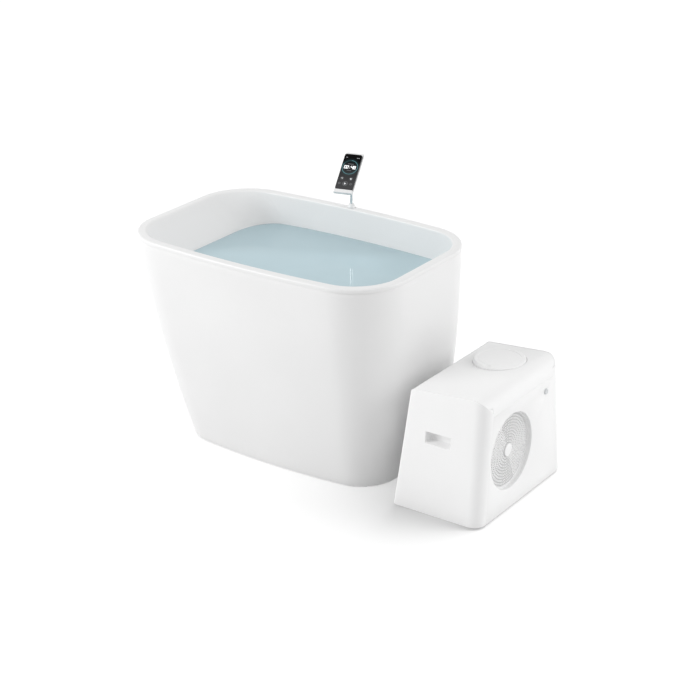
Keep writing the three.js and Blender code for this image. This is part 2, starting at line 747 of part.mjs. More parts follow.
function keyBlock(grow, x0, x1) {
  const halfLength = KEY_LENGTH / 2 + grow;
  const halfThick = KEY_THICK / 2 + grow;
  return box(x0, x1, KEY_Y - halfLength, KEY_Y + halfLength, KEY_Z - halfThick, KEY_Z + halfThick);
}

function handset() {
  const half = HANDSET_WIDTH / 2;
  const top = HANDSET_FOOT + HANDSET_LENGTH;
  const plate = roundedPlate(-half, half, HANDSET_FOOT, top, HANDSET_CORNER, TRAY_FACE + FIT, HANDSET_FACE);
  const slotFloor = KEY_OUT - KEY_DEPTH - KEY_PROUD - KEY_TRAVEL - FIT;
  return plate.subtract(keyBlock(FIT, slotFloor, KEY_OUT + KEY_DEPTH));
}

function glass() {
  const half = HANDSET_WIDTH / 2 - GLASS_MARGIN;
  const low = HANDSET_FOOT + GLASS_MARGIN;
  const high = HANDSET_FOOT + HANDSET_LENGTH - GLASS_MARGIN;
  const corner = HANDSET_CORNER - GLASS_MARGIN;
  return roundedPlate(-half, half, low, high, corner, HANDSET_FACE + FIT, HANDSET_FACE + FIT + GLASS_THICK);
}

const PIN_END = EAR_X + EAR_WALL;
piece('cradle_tray', tray(), WHITE_GLOSS, cradle);
piece('tilt_pin', barX(PIN, -PIN_END, PIN_END, 0, 0, SMALL_SIDES), STEEL, cradle);
piece('handset_body', handset(), DARK_PLASTIC, cradle);
piece('handset_glass', glass(), SCREEN, cradle);
piece('handset_key', keyBlock(0, KEY_OUT - KEY_DEPTH - KEY_PROUD, KEY_OUT), DARK_PLASTIC, cradle);

// Chiller: its own origin is on the floor under the middle of its base.
chiller.position.set(RIM_LENGTH / 2 + CHILLER_GAP + CASE_DEPTH / 2, CHILLER_SHIFT, 0);
const share = (z) => z / CASE_FRONT_TOP;
const frontX = (z) => CASE_DEPTH / 2 - LEAN_FRONT * share(z);
const backX = (z) => LEAN_BACK * share(z) - CASE_DEPTH / 2;
const endY = (z) => CASE_WIDTH / 2 - LEAN_END * share(z);
const SKIM = 0.05;

// The casing's plan at one height. Front and back stand a hair out, because the profile cuts them.
function caseRing(inset, z) {
  const x0 = backX(z) + inset - SKIM;
  const x1 = frontX(z) - inset + SKIM;
  const rounded = (corner) => roundedRing((x1 - x0) / 2, endY(z) - inset, corner - inset, 1, 1, CORNER_STEPS);
  const back = rounded(BACK_CORNER);
  const ring = rounded(CASE_CORNER).map((point, i) => (point[0] > 0 ? point : back[i]));
  return ring.map(([x, y]) => new THREE.Vector3((x0 + x1) / 2 + x, y, z));
}

const caseTower = (inset, z0 = -FIT) => loft([caseRing(inset, z0), caseRing(inset, CASE_FRONT_TOP + FRONT_ROUND)]);

// Two lines meet at a corner, and an arc of this radius rounds it.
function roundCorner(before, corner, after, radius) {
  const p = new THREE.Vector2(...corner);
  const a = new THREE.Vector2(...before).sub(p).normalize();
  const b = new THREE.Vector2(...after).sub(p).normalize();
  const half = Math.acos(a.dot(b)) / 2;
  const centre = a.clone().add(b).normalize().multiplyScalar(radius / Math.sin(half)).add(p);
  const start = a.multiplyScalar(radius / Math.tan(half)).add(p);
  const end = b.multiplyScalar(radius / Math.tan(half)).add(p);
  const from = start.clone().sub(centre).angle();
  const sweep = end.clone().sub(centre).angle() - from;
  const turn = Math.atan2(Math.sin(sweep), Math.cos(sweep));
  const points = [];
  for (let i = 0; i <= ARC_STEPS; i += 1) {
    const angle = from + turn * (i / ARC_STEPS);
    points.push([centre.x + radius * Math.cos(angle), centre.y + radius * Math.sin(angle)]);
  }
  return points;
}

// The casing seen from its end: leaning back, sloping top and round top edges.
function caseProfile(inset, rise) {
  const frontTop = [frontX(CASE_FRONT_TOP) - inset, CASE_FRONT_TOP - inset + rise];
  const backTop = [backX(CASE_BACK_TOP) + inset, CASE_BACK_TOP - inset + rise];
  const frontFoot = [frontX(-PANEL) - inset, -PANEL];
  const backFoot = [backX(-PANEL) + inset, -PANEL];
  return prismY([
    backFoot,
    frontFoot,
    ...roundCorner(frontFoot, frontTop, backTop, FRONT_ROUND - inset),
    ...roundCorner(frontTop, backTop, backFoot, BACK_ROUND - inset),
  ], -CASE_WIDTH, CASE_WIDTH);
}

// All that lies beyond the seam of one end panel. The seam leans as the end does.
function beyondSeam(side, gap) {
  const seam = (z) => endY(z) - SEAM_IN - gap;
  const top = CASE_FRONT_TOP + CASE_DEPTH;
  const points = [[seam(-top), -top], [CASE_WIDTH, -top], [CASE_WIDTH, top], [seam(top), top]];
  const mirrored = points.map(([y, z]) => [-y, z]).reverse();
  return prismX(side > 0 ? points : mirrored, -CASE_DEPTH, CASE_DEPTH);
}

const above = (z) => box(-FAR, FAR, -FAR, FAR, z, FAR);
const walls = caseTower(0).subtract(caseTower(PANEL, -PANEL)).intersect(above(CASE_FOOT));

// The hand recess is a cup that is moulded into each end panel.
function grip(side, grow) {
  const face = endY(GRIP_Z - GRIP_HEIGHT / 2);
  const deep = endY(GRIP_Z + GRIP_HEIGHT / 2) - GRIP_DEPTH - grow;
  const mouth = grow ? endY(GRIP_Z + GRIP_HEIGHT / 2) - PANEL / 2 : face + PANEL;
  const halfX = GRIP_WIDTH / 2 + grow;
  const halfZ = GRIP_HEIGHT / 2 + grow;
  const [y0, y1] = side > 0 ? [deep, mouth] : [-mouth, -deep];
  return box(GRIP_X - halfX, GRIP_X + halfX, y0, y1, GRIP_Z - halfZ, GRIP_Z + halfZ);
}

function endPanel(side) {
  const skin = walls.intersect(beyondSeam(side, 0)).intersect(caseProfile(0, END_LIP));
  return skin.add(grip(side, GRIP_WALL)).subtract(grip(side, 0));
}

const betweenEnds = walls.subtract(beyondSeam(1, FIT)).subtract(beyondSeam(-1, FIT)).intersect(caseProfile(0, 0));
const upright = betweenEnds.subtract(above(TOP_SEAM));
const INTAKE_X = backX(PUMP_Z);
const OUTLET_X = backX(OUTLET_Z);
const frontHoles = union(
  barX(FAN_HOLE, 0, FAR, FAN_Y, FAN_Z),
  barX(BUTTON + 2 * RUN, 0, FAR, BUTTON_Y, BUTTON_Z, SMALL_SIDES),
);
const backHoles = union(
  barX(PORT_TUBE + 2 * FIT, -FAR, 0, INTAKE_Y, PUMP_Z, SMALL_SIDES),
  barX(PORT_TUBE + 2 * FIT, -FAR, 0, EVAPORATOR_Y, OUTLET_Z, SMALL_SIDES),
  box(-FAR, 0, INLET_Y - INLET_WIDTH / 2 - FIT, INLET_Y + INLET_WIDTH / 2 + FIT,
    INLET_Z - INLET_HEIGHT / 2 - FIT, INLET_Z + INLET_HEIGHT / 2 + FIT),
);

function topCover() {
  const skin = caseProfile(0, 0).subtract(caseProfile(PANEL, 0)).intersect(above(TOP_SEAM + FIT));
  const inside = caseTower(PANEL + FIT);
  const ends = union(beyondSeam(1, FIT), beyondSeam(-1, FIT)).subtract(inside);
  return skin.subtract(ends).subtract(barZ(CAP + 4 * RUN, 0, FAR, FILTER_X, FILTER_Y, 2 * SMALL_SIDES));
}

piece('near_end_panel', endPanel(-1), WHITE_CASE, chiller);
piece('far_end_panel', endPanel(1), WHITE_CASE, chiller);
piece('front_panel', upright.intersect(box(0, FAR, -FAR, FAR, 0, FAR)).subtract(frontHoles), WHITE_CASE, chiller);
piece('back_panel', upright.intersect(box(-FAR, 0, -FAR, FAR, 0, FAR)).subtract(backHoles), WHITE_CASE, chiller);
piece('top_cover', topCover(), WHITE_CASE, chiller);

const PAN_TOP = PAN_FLOOR + PAN_WALL;
const STAND = PAN_TOP + FIT;
function basePan() {
  const inset = PANEL + FIT;
  const outer = loft([caseRing(inset + SKIM, PAN_FLOOR), caseRing(inset + SKIM, PAN_FLOOR + PAN_RISE)]);
  const inner = loft([caseRing(inset + PAN_WALL, PAN_TOP), caseRing(inset + PAN_WALL, PAN_TOP + PAN_RISE)]);
  return outer.subtract(inner);
}

piece('base_pan', basePan(), STEEL, chiller);
const FEET = [['near_back', -1, -1], ['near_front', 1, -1], ['far_back', -1, 1], ['far_front', 1, 1]];
for (const [place, sideX, sideY] of FEET) {
  const foot = barZ(FOOT, 0, PAN_FLOOR - FIT, sideX * FOOT_X, sideY * FOOT_Y, SMALL_SIDES);
  piece(`foot_${place}`, foot, RUBBER, chiller);
}

// Fan
const SHROUD_FRONT = frontX(FAN_Z + FAN_HOLE / 2 + SHROUD_WALL) - PANEL - FIT;
const GRILLE_X1 = SHROUD_FRONT - GRILLE_SET_BACK;
const GRILLE_X0 = GRILLE_X1 - GRILLE_THICK;
const ROTOR_X1 = GRILLE_X0 - ROTOR_GAP;
const ROTOR_X0 = ROTOR_X1 - ROTOR_DEPTH;
const MOTOR_X1 = ROTOR_X0 - RUN;
const MOTOR_X0 = MOTOR_X1 - FAN_MOTOR_LENGTH;

function shroud() {
  const ring = barX(FAN_HOLE + 2 * SHROUD_WALL, SHROUD_BACK, SHROUD_FRONT, FAN_Y, FAN_Z);
  return ring.subtract(barX(FAN_HOLE, SHROUD_BACK - FIT, SHROUD_FRONT + FIT, FAN_Y, FAN_Z));
}

// Concentric rows of slots, left between rings and spokes.
function grille() {
  const rim = FAN_HOLE / 2 - FIT - GRILLE_BAR;
  const step = (rim - HUB_CAP / 2) / GRILLE_ROWS;
  let disc = barX(FAN_HOLE - 2 * FIT, GRILLE_X0, GRILLE_X1, FAN_Y, FAN_Z);
  for (let row = 0; row < GRILLE_ROWS; row += 1) {
    const outer = 2 * (rim - row * step);
    const inner = outer - 2 * (step - GRILLE_BAR);
    let gap = barX(outer, GRILLE_X0 - FIT, GRILLE_X1 + FIT, FAN_Y, FAN_Z);
    gap = gap.subtract(barX(inner, GRILLE_X0 - 2 * FIT, GRILLE_X1 + 2 * FIT, FAN_Y, FAN_Z));
    for (let i = 0; i < GRILLE_SPOKES / 2; i += 1) {
      const spoke = new THREE.BoxGeometry(2 * GRILLE_THICK, FAN_HOLE, GRILLE_BAR);
      spoke.rotateX((i / GRILLE_SPOKES) * 2 * Math.PI).translate(GRILLE_X0, FAN_Y, FAN_Z);
      gap = gap.subtract(solid(spoke));
    }
    disc = disc.subtract(gap);
  }
  return disc;
}

// One blade: four corners at each radius, turned from a steep root to a flat tip.
function blade(angle) {
  const rings = [];
  const stations = 4;
  const middle = (ROTOR_X0 + ROTOR_X1) / 2;
  for (let k = 0; k <= stations; k += 1) {
    const t = k / stations;
    const radius = lerp(ROTOR_HUB / 2 - BLADE_THICK, ROTOR / 2, t);
    const pitch = rad(lerp(BLADE_PITCH_ROOT, BLADE_PITCH_TIP, t));
    const half = lerp(BLADE_CHORD_ROOT, BLADE_CHORD_TIP, t) / 2;
    const thin = BLADE_THICK / 2;
    const corners = [[-half, -thin], [half, -thin], [half, thin], [-half, thin]];
    rings.push(corners.map(([along, over]) => {
      const x = middle + along * Math.sin(pitch) + over * Math.cos(pitch);
      const around = along * Math.cos(pitch) - over * Math.sin(pitch);
      const y = Math.sqrt(radius ** 2 - around ** 2);
      return new THREE.Vector3(x, y, around).applyAxisAngle(new THREE.Vector3(1, 0, 0), angle);
    }));
  }
  const body = loft(rings);
  return body.volume() > 0 ? body : loft(rings.map((ring) => [...ring].reverse()));
}

function rotor() {
  let body = barX(ROTOR_HUB, ROTOR_X0, ROTOR_X1, 0, 0);
  for (let i = 0; i < BLADES; i += 1) body = body.add(blade((i / BLADES) * 2 * Math.PI));
  const bore = barX(FAN_SHAFT + 2 * FIT, ROTOR_X0 - FIT, ROTOR_X1 - ROTOR_DEPTH / 4, 0, 0, SMALL_SIDES);
  return body.subtract(bore).translate([0, FAN_Y, FAN_Z]);
}

function fanMotor() {
  const can = barX(FAN_MOTOR, MOTOR_X0, MOTOR_X1, FAN_Y, FAN_Z);
  return can.add(barX(FAN_SHAFT, MOTOR_X1 - FIT, ROTOR_X1 - ROTOR_DEPTH / 3, FAN_Y, FAN_Z, SMALL_SIDES));
}

const bracketX = MOTOR_X0 - FIT;
const bracket = box(bracketX - BRACKET_THICK, bracketX, FAN_Y - BRACKET_WIDTH / 2, FAN_Y + BRACKET_WIDTH / 2,
  STAND, FAN_Z + BRACKET_OVER);
const hubCapX = GRILLE_X1 + FIT;
piece('fan_shroud', shroud(), DARK_PLASTIC, chiller);
piece('fan_grille', grille(), WHITE_CASE, chiller);
piece('grille_hub', barX(HUB_CAP, hubCapX, hubCapX + HUB_CAP_THICK, FAN_Y, FAN_Z), WHITE_CASE, chiller);
piece('fan_rotor', rotor(), DARK_PLASTIC, chiller);
piece('fan_motor', fanMotor(), BLACK_PAINT, chiller);
piece('motor_bracket', bracket, STEEL, chiller);

// Filter: a pot that hangs in the top cover, a pleated cartridge and a twist cap.
const topZ = (x) => lerp(CASE_BACK_TOP, CASE_FRONT_TOP, (x - backX(CASE_BACK_TOP))
  / (frontX(CASE_FRONT_TOP) - backX(CASE_BACK_TOP)));
const POT_TOP = topZ(FILTER_X - POT_FLANGE / 2) - PANEL - 2 * FIT;
const CAP_LOW = POT_TOP + FIT;

function filterPot() {
  const wall = POT / 2 - POT_WALL;
  const shoulder = POT_TOP - POT_FLANGE_THICK;
  const profile = [[0, POT_FLOOR_Z], [POT / 2, POT_FLOOR_Z], [POT / 2, shoulder], [POT_FLANGE / 2, shoulder],
    [POT_FLANGE / 2, POT_TOP], [wall, POT_TOP], [wall, POT_FLOOR_Z + POT_WALL], [0, POT_FLOOR_Z + POT_WALL]];
  return turned(profile, FILTER_X, FILTER_Y);
}

function cartridge() {
  const shape = new THREE.Shape();
  for (let i = 0; i < 2 * PLEATS; i += 1) {
    const angle = (i / PLEATS) * Math.PI;
    const radius = CARTRIDGE / 2 - (i % 2) * PLEAT_DEPTH;
    const point = [radius * Math.cos(angle), radius * Math.sin(angle)];
    if (i) shape.lineTo(...point);
    else shape.moveTo(...point);
  }
  shape.closePath();
  const low = POT_FLOOR_Z + POT_WALL + FIT;
  const geometry = new THREE.ExtrudeGeometry(shape, { depth: CARTRIDGE_HEIGHT, bevelEnabled: false });
  const body = solid(geometry.translate(FILTER_X, FILTER_Y, low));
  return body.subtract(barZ(CARTRIDGE_BORE, low - FIT, low + CARTRIDGE_HEIGHT + FIT, FILTER_X, FILTER_Y, SMALL_SIDES));
}

function filterCap() {
  const edge = CAP / 2;
  const skirt = POT / 2 - POT_WALL - RUN;
  const profile = [[0, CAP_LOW - CAP_SKIRT], [skirt, CAP_LOW - CAP_SKIRT], [skirt, CAP_LOW], [edge, CAP_LOW],
    [edge, CAP_TOP - CAP_ROUND], [edge - CAP_ROUND / 3, CAP_TOP - CAP_ROUND / 3], [edge - CAP_ROUND, CAP_TOP],
    [0, CAP_TOP]];
  let body = turned(profile, FILTER_X, FILTER_Y, 2 * SMALL_SIDES);
  for (const side of [-1, 1]) {
    const y = FILTER_Y + side * edge;
    body = body.subtract(barZ(CAP_NOTCH, CAP_TOP - CAP_ROUND, FAR, FILTER_X, y, SMALL_SIDES));
  }
  return body;
}

piece('filter_pot', filterPot(), GREY_PLASTIC, chiller);
piece('filter_cartridge', cartridge(), PAPER, chiller);
piece('filter_cap', filterCap(), WHITE_CASE, chiller);

// Cooling circuit
const COMPRESSOR_FOOT = STAND + MOUNT_HEIGHT + FIT;
const COMPRESSOR_TOP = COMPRESSOR_FOOT + COMPRESSOR_HEIGHT;
function compressor() {
  const low = COMPRESSOR_FOOT;
  const r = COMPRESSOR / 2;
  const dome = r / 3;
  const profile = [[0, low], [COMPRESSOR_PLATE / 2, low], [COMPRESSOR_PLATE / 2, low + PLATE_THICK],
    [r, low + PLATE_THICK], [r, COMPRESSOR_TOP - dome], [r * 0.85, COMPRESSOR_TOP - dome / 3],
    [r * 0.5, COMPRESSOR_TOP], [0, COMPRESSOR_TOP]];
  return turned(profile, COMPRESSOR_X, COMPRESSOR_Y);
}

const condenser = box(CONDENSER_X - CONDENSER_THICK / 2, CONDENSER_X + CONDENSER_THICK / 2,
  CONDENSER_Y0, CONDENSER_Y1, STAND, STAND + CONDENSER_HEIGHT);
const evaporator = box(EVAPORATOR_X - EVAPORATOR_DEPTH / 2, EVAPORATOR_X + EVAPORATOR_DEPTH / 2,
  EVAPORATOR_Y - EVAPORATOR_WIDTH / 2, EVAPORATOR_Y + EVAPORATOR_WIDTH / 2, STAND, STAND + EVAPORATOR_HEIGHT);
piece('condenser', condenser, ALUMINIUM, chiller);
piece('compressor', compressor(), BLACK_PAINT, chiller);
for (let i = 0; i < MOUNTS; i += 1) {
  const angle = (i / MOUNTS) * 2 * Math.PI;
  const reach = (COMPRESSOR_PLATE - MOUNT) / 2;
  const x = COMPRESSOR_X + reach * Math.cos(angle);
  const y = COMPRESSOR_Y + reach * Math.sin(angle);
  piece(`compressor_mount_${i + 1}`, barZ(MOUNT, STAND, STAND + MOUNT_HEIGHT, x, y, SMALL_SIDES), RUBBER, chiller);
}
piece('evaporator', evaporator, STEEL, chiller);

// Pump: a volute with its eye towards the inlet pipe, an impeller and a motor behind it.
const VOLUTE_END = PUMP_Y + VOLUTE_DEPTH;
const CHAMBER_END = VOLUTE_END - VOLUTE_WALL;
const MOTOR_FACE = VOLUTE_END + FIT;
const IMPELLER_Y0 = PUMP_Y + VOLUTE_WALL + IMPELLER_GAP;
const IMPELLER_Y1 = CHAMBER_END - IMPELLER_GAP;

function pumpHousing() {
  const drum = barY(VOLUTE, PUMP_Y, VOLUTE_END, PUMP_X, PUMP_Z);
  const foot = box(PUMP_X - PEDESTAL / 2, PUMP_X + PEDESTAL / 2, PUMP_Y, VOLUTE_END, STAND, PUMP_Z);
  const chamber = barY(VOLUTE - 2 * VOLUTE_WALL, PUMP_Y + VOLUTE_WALL, CHAMBER_END, PUMP_X, PUMP_Z);
  const eye = barY(PUMP_EYE, PUMP_Y - FIT, PUMP_Y + 2 * VOLUTE_WALL, PUMP_X, PUMP_Z, SMALL_SIDES);
  const shaft = barY(IMPELLER_SHAFT + 2 * FIT, CHAMBER_END - FIT, VOLUTE_END + FIT, PUMP_X, PUMP_Z, SMALL_SIDES);
  return drum.add(foot).subtract(union(chamber, eye, shaft));
}

function impeller() {
  const radius = VOLUTE / 2 - VOLUTE_WALL - IMPELLER_GAP;
  const disc = IMPELLER_Y1 - BLADE_THICK;
  let body = barY(2 * radius, disc, IMPELLER_Y1, 0, 0);
  body = body.add(barY(IMPELLER_SHAFT, disc, MOTOR_FACE + PUMP_MOTOR_LENGTH / 4, 0, 0, SMALL_SIDES));
  for (let i = 0; i < VANES; i += 1) {
    const vane = new THREE.BoxGeometry(radius * 0.6, disc + FIT - IMPELLER_Y0, BLADE_THICK);
    vane.translate(radius * 0.66, (IMPELLER_Y0 + disc + FIT) / 2, 0).rotateY((i / VANES) * 2 * Math.PI);
    body = body.add(solid(vane));
  }
  return body.translate([PUMP_X, 0, PUMP_Z]);
}

function pumpMotor() {
  const can = barY(PUMP_MOTOR, MOTOR_FACE, MOTOR_FACE + PUMP_MOTOR_LENGTH, PUMP_X, PUMP_Z);
  const bore = barY(IMPELLER_SHAFT + 2 * FIT, MOTOR_FACE - FIT, MOTOR_FACE + PUMP_MOTOR_LENGTH / 3, PUMP_X, PUMP_Z,
    SMALL_SIDES);
  return can.subtract(bore);
}

piece('pump_housing', pumpHousing(), DARK_PLASTIC, chiller);
piece('pump_impeller', impeller(), GREY_PLASTIC, chiller);
piece('pump_motor', pumpMotor(), BLACK_PAINT, chiller);

// Electrics
const controlBox = box(-BOX_LENGTH / 2, BOX_LENGTH / 2, BOX_Y - BOX_DEPTH / 2, BOX_Y + BOX_DEPTH / 2,
  STAND, STAND + BOX_HEIGHT);

function powerInlet() {
  const face = backX(INLET_Z - INLET_HEIGHT / 2 - INLET_FLANGE) - FIT;
  const halfY = INLET_WIDTH / 2;
  const halfZ = INLET_HEIGHT / 2;
  const flange = box(face - PANEL, face, INLET_Y - halfY - INLET_FLANGE, INLET_Y + halfY + INLET_FLANGE,
    INLET_Z - halfZ - INLET_FLANGE, INLET_Z + halfZ + INLET_FLANGE);
  const body = box(face - FIT, face + INLET_DEPTH + PANEL, INLET_Y - halfY, INLET_Y + halfY,
    INLET_Z - halfZ, INLET_Z + halfZ);
  const socket = box(face - FAR / 10, face + INLET_DEPTH, INLET_Y - halfY + PANEL, INLET_Y + halfY - PANEL,
    INLET_Z - halfZ + PANEL, INLET_Z + halfZ - PANEL);
  return flange.add(body).subtract(socket);
}

function powerButton() {
  const outside = frontX(BUTTON_Z) + BUTTON_PROUD;
  const behind = frontX(BUTTON_Z + BUTTON_FLANGE / 2) - PANEL - FIT;
  const head = barX(BUTTON, behind - PANEL, outside, BUTTON_Y, BUTTON_Z, SMALL_SIDES);
  return head.add(barX(BUTTON_FLANGE, behind - PANEL, behind, BUTTON_Y, BUTTON_Z, SMALL_SIDES));
}

piece('control_box', controlBox, GREY_PLASTIC, chiller);
piece('power_inlet', powerInlet(), DARK_PLASTIC, chiller);
piece('power_button', powerButton(), GREY_PLASTIC, chiller);

// Water ports through the back panel, each a tube with a flange outside.
function waterPort(y, z, wallX, insideX) {
  const face = backX(z - PORT_NUT / 2) - FIT;
  const outside = face - NUT_THICK - THREAD_END;
  const tube = barX(PORT_TUBE, outside, insideX, y, z, SMALL_SIDES);
  const flange = barX(PORT_NUT, face - NUT_THICK, face, y, z, 6);
  const bore = barX(WATER_PIPE + 2 * FIT, outside - FIT, insideX + FIT, y, z, SMALL_SIDES);
  return tube.add(flange).subtract(bore);
}

const INTAKE_END = INTAKE_X + PORT_TUBE;
const EVAPORATOR_BACK = EVAPORATOR_X - EVAPORATOR_DEPTH / 2;
piece('water_inlet_port', waterPort(INTAKE_Y, PUMP_Z, INTAKE_X, INTAKE_END), GREY_PLASTIC, chiller);
piece('water_outlet_port', waterPort(EVAPORATOR_Y, OUTLET_Z, OUTLET_X, EVAPORATOR_BACK - FIT), GREY_PLASTIC, chiller);

// Pipes between the ports, the pump, the filter and the cooling circuit
const bend = 2 * WATER_PIPE;
const inletPipe = pipe(WATER_PIPE, [
  [INTAKE_X + PORT_TUBE / 4, INTAKE_Y, PUMP_Z],
  [INTAKE_END, INTAKE_Y, PUMP_Z],
  [PUMP_X - bend, INTAKE_Y, PUMP_Z],
  [PUMP_X, INTAKE_Y + bend / 2, PUMP_Z],
  [PUMP_X, PUMP_Y - FIT, PUMP_Z],
], 14);
const voluteTop = PUMP_Z + VOLUTE / 2;
const riserY = (PUMP_Y + VOLUTE_END) / 2;
const riser = pipe(WATER_PIPE, [
  [PUMP_X, riserY, voluteTop + FIT],
  [PUMP_X, riserY, voluteTop + bend],
  [lerp(PUMP_X, FILTER_X, 0.5), lerp(riserY, FILTER_Y, 0.5), POT_FLOOR_Z - bend],
  [FILTER_X, FILTER_Y, POT_FLOOR_Z - bend / 2],
  [FILTER_X, FILTER_Y, POT_FLOOR_Z - FIT],
], 14);
const potSide = FILTER_X - POT / 2;
const evaporatorTop = STAND + EVAPORATOR_HEIGHT;
const filterOut = pipe(WATER_PIPE, [
  [potSide - FIT, FILTER_Y, FILTER_OUT_Z],
  [potSide - WATER_PIPE / 2, FILTER_Y, FILTER_OUT_Z],
  [EVAPORATOR_X, EVAPORATOR_Y, FILTER_OUT_Z - bend / 2],
  [EVAPORATOR_X, EVAPORATOR_Y, evaporatorTop + FIT],
], 12);
const discharge = pipe(GAS_PIPE, [
  [COMPRESSOR_X, COMPRESSOR_Y, COMPRESSOR_TOP + FIT],
  [COMPRESSOR_X, COMPRESSOR_Y, COMPRESSOR_TOP + DISCHARGE_RISE],
  [CONDENSER_X, COMPRESSOR_Y - 2 * DISCHARGE_RISE, DISCHARGE_Z],
  [CONDENSER_X, CONDENSER_Y1 + DISCHARGE_RISE, DISCHARGE_Z],
  [CONDENSER_X, CONDENSER_Y1 + FIT, DISCHARGE_Z],
], 14);
const evaporatorNear = EVAPORATOR_Y - EVAPORATOR_WIDTH / 2;
const evaporatorFar = EVAPORATOR_Y + EVAPORATOR_WIDTH / 2;
const liquidLine = barY(GAS_PIPE, CONDENSER_Y1 + FIT, evaporatorNear - FIT, CONDENSER_X, LIQUID_Z, PIPE_SIDES);
const suctionLine = barY(GAS_PIPE, evaporatorFar + FIT, COMPRESSOR_Y - COMPRESSOR / 2 - FIT, SUCTION_LINE_X,
  SUCTION_LINE_Z, PIPE_SIDES);
piece('inlet_pipe', inletPipe, GREY_PLASTIC, chiller);
piece('pump_riser', riser, GREY_PLASTIC, chiller);
piece('filter_outlet_pipe', filterOut, GREY_PLASTIC, chiller);
piece('discharge_line', discharge, COPPER, chiller);
piece('liquid_line', liquidLine, COPPER, chiller);
piece('suction_line', suctionLine, COPPER, chiller);

export default set;
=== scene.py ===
"""Looks of the cold plunge tub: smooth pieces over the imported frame, their finishes and a studio stage."""

import json
import math

import bmesh
import bpy
from bpy.props import FloatProperty, FloatVectorProperty, IntProperty, PointerProperty
from mathutils import Matrix, Vector


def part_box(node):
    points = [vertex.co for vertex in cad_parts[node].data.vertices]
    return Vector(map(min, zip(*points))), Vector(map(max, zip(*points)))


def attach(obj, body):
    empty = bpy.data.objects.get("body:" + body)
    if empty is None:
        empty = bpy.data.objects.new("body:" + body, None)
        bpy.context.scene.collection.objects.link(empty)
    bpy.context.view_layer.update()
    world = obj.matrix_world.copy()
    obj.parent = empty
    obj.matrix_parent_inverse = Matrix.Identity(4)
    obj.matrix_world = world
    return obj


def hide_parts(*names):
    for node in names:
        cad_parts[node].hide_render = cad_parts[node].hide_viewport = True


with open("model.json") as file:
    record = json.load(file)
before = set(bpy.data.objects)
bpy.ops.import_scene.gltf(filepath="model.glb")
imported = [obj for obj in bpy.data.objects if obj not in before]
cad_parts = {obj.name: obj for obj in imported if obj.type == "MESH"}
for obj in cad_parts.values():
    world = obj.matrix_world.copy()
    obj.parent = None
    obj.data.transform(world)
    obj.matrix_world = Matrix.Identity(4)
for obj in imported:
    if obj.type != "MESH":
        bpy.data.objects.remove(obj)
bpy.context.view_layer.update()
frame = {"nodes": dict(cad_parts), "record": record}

bl_info = {
    "name": "Cold plunge tub",
    "version": (1, 0, 0),
    "blender": (4, 5, 0),
    "location": "View3D > Sidebar > Plunge tub",
    "description": "Smooth shells, water, handset screen and finishes for a plunge tub with its chiller",
    "category": "Object",
}

# A millimetre in metres, and gaps in millimetres: between pieces, and round what moves in a hole
MM = 0.001
FIT = 0.4
BORE_GAP = 0.6
# Distances in metres under which points count as one: in a shape, in a whole piece, along a seam
TINY, WELD, SEAM_WELD = 1e-7, 1e-6, 1e-5
ROUNDING = 1e-9

# Tub, in millimetres: rim, base and the walls between them
TUB_HEIGHT = 768
RIM_LENGTH, RIM_WIDTH, RIM_CORNER = 1100, 672, 180
BASE_LENGTH, BASE_WIDTH, BASE_CORNER = 862, 514, 127
BASE_SHIFT = 79
SIDE_BOW, WALL_BULGE = 35, 17
WALL_DEPTH, SHELL_WALL, BASIN_WALL = 32, 6, 5
SHELL_FOOT, SHELL_EDGE = 3, 0.8
FLOOR_HEIGHT, FLOOR_ROUND = 70, 60
LIP_DROP, LIP_PROUD, LIP_WALL = 16, 2, 4
LIP_EDGE, LIP_CUT = 1, 0.3
RIM_SKIN, CREST_ROUND = 5, 7
BACKREST_IN = 100
WATER_GAP, WATER_THICK = 0.3, 3
WALL_ROWS, HIDDEN_ROWS, ROUND_ROWS, FLOOR_ROWS = 40, 12, 8, 12
LONG_STEPS, SHORT_STEPS, CORNER_STEPS = 24, 12, 16

# Rim post, cradle and handset. The foot's profile is radius and height.
POST_X = -15
POST_Y = RIM_WIDTH / 2 + SIDE_BOW * (1 - (2 * POST_X / RIM_LENGTH) ** 2) - (WALL_DEPTH - LIP_PROUD) / 2
POST, POST_EDGE = 12, 0.5
FOOT_PROFILE = ((14.6, 0), (15, 0.5), (15, 3), (14.2, 4.4), (9.8, 13), (9, 14))
TILT_ABOVE_RIM = 146
TILT_Z = TUB_HEIGHT + TILT_ABOVE_RIM
KNUCKLE, KNUCKLE_WIDTH, KNUCKLE_EDGE = 14, 16, 1
CRADLE_LEAN, CRADLE_TURN = 50, 15
TRAY_WIDTH, TRAY_LENGTH, TRAY_THICK = 74, 177, 3
TRAY_STAND, TRAY_BELOW, TRAY_CORNER, TRAY_EDGE = 10, 114.5, 9, 0.8
TRAY_FACE = TRAY_STAND + TRAY_THICK
LEDGE_DEPTH, LEDGE_THICK, LEDGE_IN, LEDGE_CORNER = 9.6, 14, 2, 1.6
EAR_WALL, EAR_ROUND, EAR_CORNER, EAR_EDGE, EAR_SINK = 5, 8, 7.9, 0.5, 1
PIN_RADIUS, PIN_EDGE, PIN_STEPS = 3, 0.6, 32
HANDSET_WIDTH, HANDSET_LENGTH, HANDSET_THICK = 68, 152, 7.4
HANDSET_CORNER, HANDSET_EDGE = 9, 1.4
HANDSET_FOOT = LEDGE_THICK - TRAY_BELOW + FIT
HANDSET_FACE = TRAY_FACE + FIT + HANDSET_THICK
GLASS_MARGIN, GLASS_THICK, GLASS_EDGE = 1.2, 1, 0.35
SCREEN_CELL, UPWARD = 0.6, 0.99

